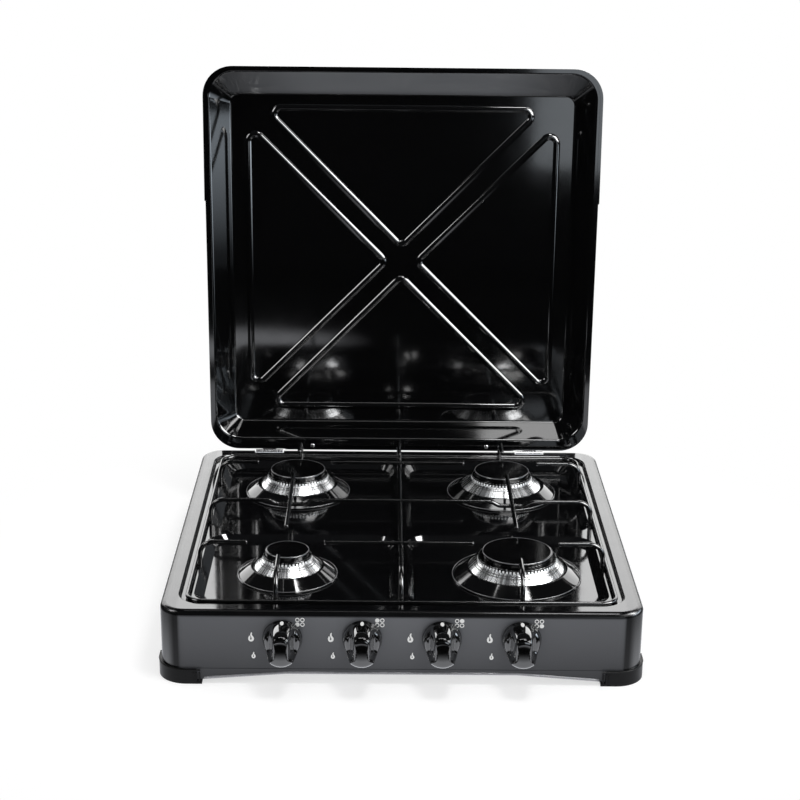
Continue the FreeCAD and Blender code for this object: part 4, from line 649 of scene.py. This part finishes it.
arch = skirt_arch()
rolls = []
for side in (-1, 1):
    wide = [(along, side * SKIRT_FACE, z) for along, z in arch]
    deep = [(side * SKIRT_FACE, along, z) for along, z in arch]
    rolls += [sweep(wide, SKIRT_ROLL_RADIUS), sweep(deep, SKIRT_ROLL_RADIUS)]
add_beads("skirt_rolls", "base", roll_painted_highlight, rolls)

# Rolled rear edge of the lid, between the hinges
REAR_ROLL_Y, REAR_ROLL_Z, REAR_ROLL_RADIUS = 247.2 * MM, 82.8 * MM, 1.0 * MM
rear_roll = [(x * MM, REAR_ROLL_Y, REAR_ROLL_Z) for x in range(-146, 147, 4)]
rear_roll = [sweep(rear_roll, REAR_ROLL_RADIUS)]
add_beads("lid_rear_roll", "lid", finishes["collar_enamel"], rear_roll)


def foot_trim(side_x, side_y):
    """The lip round the top of a corner foot, and the ribs near its two ends."""
    outer = 253.0 * MM
    corner = 34.0 * MM
    end = 207.5 * MM
    lip_height, lip_radius = 15.7 * MM, 0.85 * MM
    rib_bottom, rib_top = 3.2 * MM, 13.2 * MM
    first_rib, rib_pitch = 208.6, 3.0
    rib_corners = ((-0.7, -0.4), (0.7, -0.4), (0.7, 0.6), (-0.7, 0.6))
    bends = 12

    path = [(end, outer)]
    for i in range(bends + 1):
        turn = math.pi / 2 * (1 - i / bends)
        x = outer - corner + corner * math.cos(turn)
        y = outer - corner + corner * math.sin(turn)
        path.append((x, y))
    path.append((outer, end))
    shells = [sweep([(side_x * x, side_y * y, lip_height) for x, y in path], lip_radius)]

    for step in range(3):
        along = (first_rib + rib_pitch * step) * MM
        for swapped in (False, True):
            points = []
            for z in (rib_bottom, rib_top):
                for beside, out in rib_corners:
                    x, y = along + beside * MM, outer + out * MM
                    if swapped:
                        x, y = y, x
                    points.append((side_x * x, side_y * y, z))
            faces = [[3, 2, 1, 0], [4, 5, 6, 7]]
            faces += [[i, (i + 1) % 4, (i + 1) % 4 + 4, i + 4] for i in range(4)]
            shells.append((points, faces))
    return merge(shells)


for depth, side_y in (("front", -1), ("rear", 1)):
    for width, side_x in (("left", -1), ("right", 1)):
        name = "foot_%s_%s_trim" % (depth, width)
        shell = foot_trim(side_x, side_y)
        clean_up(build_object(name, "base", finishes["foot_plastic"], shell))


def knob_shell(x, z, y_back, y_front):
    """A round flange and a bell-shaped body, scooped at both sides of an upright grip."""
    rings = 26
    steps = 64
    flange_radius = 20.5 * MM
    flange_depth = 2.6 * MM
    back_round, front_round = 0.5 * MM, 0.7 * MM
    bell_radius = 19.9 * MM
    rim = y_back - flange_depth
    reach = rim - y_front

    # Each point as radius, step of the turn, y
    points = []
    for radius, y in (
        (flange_radius - back_round, y_back),
        (flange_radius, y_back - front_round),
        (flange_radius, rim + front_round),
        (flange_radius - front_round, rim),
    ):
        points += [(radius, step, y) for step in range(steps)]
    for ring in range(rings, -1, -1):
        share = math.sin(ring / rings * math.pi / 2)
        for step in range(steps):
            angle = math.tau * step / steps
            side = share * math.cos(angle)
            rise = share * math.sin(angle)
            dome = (1 - share ** 9) ** (1 / 2.2)
            grip = 0.34 + 0.42 * smooth_step(-rise, 0.25, 0.95)
            scoop = smooth_step(abs(side), grip, grip + 0.30) * smooth_step(rise, -0.95, -0.35)
            depth = dome * (1 - 0.68 * scoop)
            points.append((share * bell_radius, step, rim - depth * reach))

    placed = []
    for radius, step, y in points:
        angle = math.tau * step / steps
        placed.append((x + radius * math.cos(angle), y, z + radius * math.sin(angle)))
    faces = [list(range(steps))[::-1]]
    for band in range(len(points) // steps - 1):
        first = band * steps
        second = first + steps
        for step in range(steps):
            after = (step + 1) % steps
            faces.append([first + step, first + after, second + after, second + step])
    return placed, faces


# The visual knob against its node's box: room behind it for a push, and a deeper front
KNOB_BACK_ROOM = 0.35 * MM
KNOB_EXTRA_DEPTH = 5.0 * MM
DOT_RADIUS = 1.9 * MM
DOT_STRETCH = 2.4
DOT_BEHIND = 7.9 * MM
DOT_LOW, DOT_HIGH = 19.6 * MM, 20.05 * MM

for number in (1, 2, 3, 4):
    node = "knob_%d" % number
    low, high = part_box(node)
    x, z = knob_centres[number - 1]
    shell = knob_shell(x, z, high.y - KNOB_BACK_ROOM, low.y - KNOB_EXTRA_DEPTH)
    gloss = finishes["knob_plastic"]
    knob = build_object("knob_%d_bell" % number, "knob_%d" % number, gloss, shell)
    clean_up(knob, 0.02 * MM)
    knob.data.shade_smooth()
    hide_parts(node)
    # The dot lies flat on top of the bell, longer than wide, so that it looks round from the front
    points, faces = disc((0, 0), DOT_RADIUS, -(z + DOT_LOW), -(z + DOT_HIGH))
    middle_y = high.y - DOT_BEHIND
    points = [(x + across, middle_y + DOT_STRETCH * along, -up) for across, up, along in points]
    build_object("knob_%d_dot" % number, node, mark_white, (points, faces))


def stage_plane(name, centre, along, up, width, height, material):
    """A flat panel of the studio, not part of the object."""
    centre, along, up = Vector(centre), Vector(along).normalized(), Vector(up).normalized()
    corners = []
    for side, rise in ((-1, -1), (1, -1), (1, 1), (-1, 1)):
        corners.append(centre + along * (side * width / 2) + up * (rise * height / 2))
    mesh = bpy.data.meshes.new(name)
    mesh.from_pydata([tuple(corner) for corner in corners], [], [[0, 1, 2, 3]])
    mesh.materials.append(material)
    made = bpy.data.objects.new(name, mesh)
    scene.collection.objects.link(made)
    return made


def mirror_card(name, centre, along, up, width, height, material):
    """A card of the studio that only reflections see."""
    card = stage_plane(name, centre, along, up, width, height, material)
    card.visible_camera = False
    card.visible_diffuse = False
    card.visible_shadow = False


# Pale patches of floor, seen in reflections only: middle x, y, half width, half depth, strength
FLOOR_GLEAMS = (
    (-0.29, -0.60, 0.26, 0.11, 1.6),
    (-0.06, -0.50, 0.16, 0.07, 0.6),
    (0.20, -0.48, 0.13, 0.07, 0.8),
)


def floor_gleams(tree, x, y):
    """How brightly the floor shows in reflections: a strip before the body and the patches."""
    strip = remap(tree, y, 0.004, 1.15, -0.405, -0.375, smooth=True)
    aside = calculate(tree, "ABSOLUTE", x)
    glow = product(tree, strip, remap(tree, aside, 1.0, 0.01, 0.26, 0.50, smooth=True))
    for middle_x, middle_y, half_width, half_depth, strength in FLOOR_GLEAMS:
        from_x = calculate(tree, "DIVIDE", calculate(tree, "SUBTRACT", x, middle_x), half_width)
        from_y = calculate(tree, "DIVIDE", calculate(tree, "SUBTRACT", y, middle_y), half_depth)
        squares = [product(tree, value, value) for value in (from_x, from_y)]
        apart = calculate(tree, "ADD", *squares)
        patch = remap(tree, apart, strength, 0.0, 0.0, 1.0, smooth=True)
        glow = calculate(tree, "ADD", glow, patch)
    return glow


def floor_material():
    """White floor that keeps the object's shadow, and is dark in reflections away from it."""
    material, tree, surface = bare_material("floor_white")
    diffuse = add_node(tree, "ShaderNodeBsdfDiffuse", Color=(0.45, 0.45, 0.45, 1.0))
    lift = add_node(tree, "ShaderNodeEmission", Color=WHITE, Strength=0.62)
    seen = tree.nodes.new("ShaderNodeAddShader")
    tree.links.new(diffuse.outputs["BSDF"], seen.inputs[0])
    tree.links.new(lift.outputs["Emission"], seen.inputs[1])

    place = tree.nodes.new("ShaderNodeNewGeometry").outputs["Position"]
    parts = split(tree, place)
    mirrored = add_node(tree, "ShaderNodeEmission", Color=(0.93, 0.95, 1.0, 1.0))
    tree.links.new(floor_gleams(tree, parts["X"], parts["Y"]), mirrored.inputs["Strength"])

    ray = tree.nodes.new("ShaderNodeLightPath").outputs
    near = mix_shaders(
        tree, ray["Is Glossy Ray"], seen.outputs["Shader"], mirrored.outputs["Emission"]
    )
    away = vector_sum(tree, "LENGTH", place)["Value"]
    far = remap(tree, away, 0.0, 1.0, 0.36, 0.60, smooth=True)
    white = add_node(tree, "ShaderNodeEmission", Color=WHITE, Strength=1.0)
    seen_far = product(tree, far, ray["Is Camera Ray"])
    whole = mix_shaders(tree, seen_far, near, white.outputs["Emission"])
    tree.links.new(whole, surface)
    return material


def black_card_material():
    """Keeps the back light out of the gap under the lid."""
    material, tree, shader = new_material("card_black")
    tint(tree, shader, noise(tree, 50.0), (0.0, 0.0, 0.0), (0.001, 0.001, 0.001))
    set_inputs(shader, Roughness=0.9)
    return material


def dim_card_material():
    """Lets through a part of the light, for the upper sides of the knobs and the front edge."""
    material, tree, surface = bare_material("card_dim")
    clear = tree.nodes.new("ShaderNodeBsdfTransparent")
    black = add_node(tree, "ShaderNodeBsdfDiffuse", Color=(0.0, 0.0, 0.0, 1.0))
    mix = add_node(tree, "ShaderNodeMixShader", Fac=0.82)
    tree.links.new(clear.outputs["BSDF"], mix.inputs[1])
    tree.links.new(black.outputs["BSDF"], mix.inputs[2])
    tree.links.new(mix.outputs["Shader"], surface)
    return material


def gleam_card_material():
    """A light that rises with height, for the lid's left slope."""
    material, tree, surface = bare_material("gleam_card")
    glow = add_node(tree, "ShaderNodeEmission", Color=(0.80, 0.90, 1.0, 1.0))
    rise = remap(tree, split(tree, position(tree))["Z"], 0.3, 5.5, 0.07, 0.27)
    tree.links.new(rise, glow.inputs["Strength"])
    tree.links.new(glow.outputs["Emission"], surface)
    return material


FLOOR_SIZE = 30.0
stage_plane(
    "floor", (0, 0, -0.0002), TO_RIGHT, TO_REAR, FLOOR_SIZE, FLOOR_SIZE, floor_material()
)
mirror_card(
    "gap_card", (0, 0.33, 0.1145), TO_RIGHT, UPWARDS, 0.47, 0.021, black_card_material()
)
mirror_card(
    "knob_card", (0, -0.385, 0.16), TO_RIGHT, TO_REAR, 1.1, 0.21, dim_card_material()
)
mirror_card(
    "side_gleam", (1.0, -0.15, 0.19), TO_REAR, UPWARDS, 0.9, 0.30, gleam_card_material()
)


def studio_world():
    """White for the camera, soft for diffuse light, nearly dark in reflections."""
    world = bpy.data.worlds.new("studio")
    scene.world = world
    world.use_nodes = True
    tree = world.node_tree
    tree.nodes.clear()
    surface = tree.nodes.new("ShaderNodeOutputWorld").inputs["Surface"]
    white = add_node(tree, "ShaderNodeBackground", Color=WHITE, Strength=1.0)
    dim = add_node(tree, "ShaderNodeBackground", Color=(0.90, 0.94, 1.0, 1.0), Strength=0.03)
    soft = add_node(tree, "ShaderNodeBackground", Color=WHITE, Strength=0.75)
    ray = tree.nodes.new("ShaderNodeLightPath").outputs
    light = mix_shaders(
        tree, ray["Is Glossy Ray"], soft.outputs["Background"], dim.outputs["Background"]
    )
    whole = mix_shaders(tree, ray["Is Camera Ray"], light, white.outputs["Background"])
    tree.links.new(whole, surface)


studio_world()


def softbox(name, place, target, width, height, power, colour=(1.0, 1.0, 1.0), diffuse=True):
    """A rectangular area light that faces its target."""
    light = bpy.data.lights.new(name, "AREA")
    light.shape = "RECTANGLE"
    light.size = width
    light.size_y = height
    light.energy = power
    light.color = colour
    made = bpy.data.objects.new(name, light)
    scene.collection.objects.link(made)
    made.location = place
    made.rotation_euler = (Vector(target) - Vector(place)).to_track_quat("-Z", "Y").to_euler()
    made.visible_camera = False
    made.visible_diffuse = diffuse


softbox("back_box", (0, 1.6, 0.75), (0, 0, 0.2), 4.0, 1.3, 44.0, diffuse=False)
softbox("top_box", (0.385, -0.52, 1.7), (0.385, 0.1, 0), 0.37, 0.42, 9.0)
softbox("left_box", (-1.18, -0.59, 0.98), (0, 0.27, 0.32), 0.6, 0.6, 9.0, diffuse=False)
softbox("zenith_box", (0, -0.09, 1.7), (0, -0.09, 0), 1.0, 0.1, 1.6)
softbox("far_right_box", (0.87, -2.5, 0.6), (0.1, 0.2, 0.3), 1.0, 1.2, 6.5, (0.86, 0.93, 1.0))
softbox("key_box", (1.12, -0.68, 0.97), (0, 0.27, 0.32), 1.2, 0.9, 60.0, diffuse=False)

# The photo's view: 20 degrees down, with a lens shift
CAMERA_PLACE = (-0.0210, -1.9141, 0.8400)
CAMERA_PITCH, CAMERA_YAW, CAMERA_ROLL = (math.radians(turn) for turn in (20.11, 0.61, 0.65))
SENSOR_WIDTH, FOCAL_LENGTH = 36.0, 80.46
SHIFT_X, SHIFT_Y = -0.0008, 0.0933


def make_camera():
    """The camera of the photo."""
    data = bpy.data.cameras.new("photo_camera")
    data.sensor_width = SENSOR_WIDTH
    data.lens = FOCAL_LENGTH
    data.shift_x = SHIFT_X
    data.shift_y = SHIFT_Y
    camera = bpy.data.objects.new("photo_camera", data)
    scene.collection.objects.link(camera)
    level = math.cos(CAMERA_PITCH)
    right = Vector((math.cos(CAMERA_YAW), -math.sin(CAMERA_YAW), 0))
    ahead = Vector((
        math.sin(CAMERA_YAW) * level,
        math.cos(CAMERA_YAW) * level,
        -math.sin(CAMERA_PITCH),
    ))
    above = right.cross(ahead)
    side = right * math.cos(CAMERA_ROLL) + above * math.sin(CAMERA_ROLL)
    top = above * math.cos(CAMERA_ROLL) - right * math.sin(CAMERA_ROLL)
    turn = Matrix((side, top, -ahead)).transposed()
    camera.matrix_world = Matrix.Translation(CAMERA_PLACE) @ turn.to_4x4()
    scene.camera = camera


make_camera()
scene.view_settings.view_transform = "Standard"
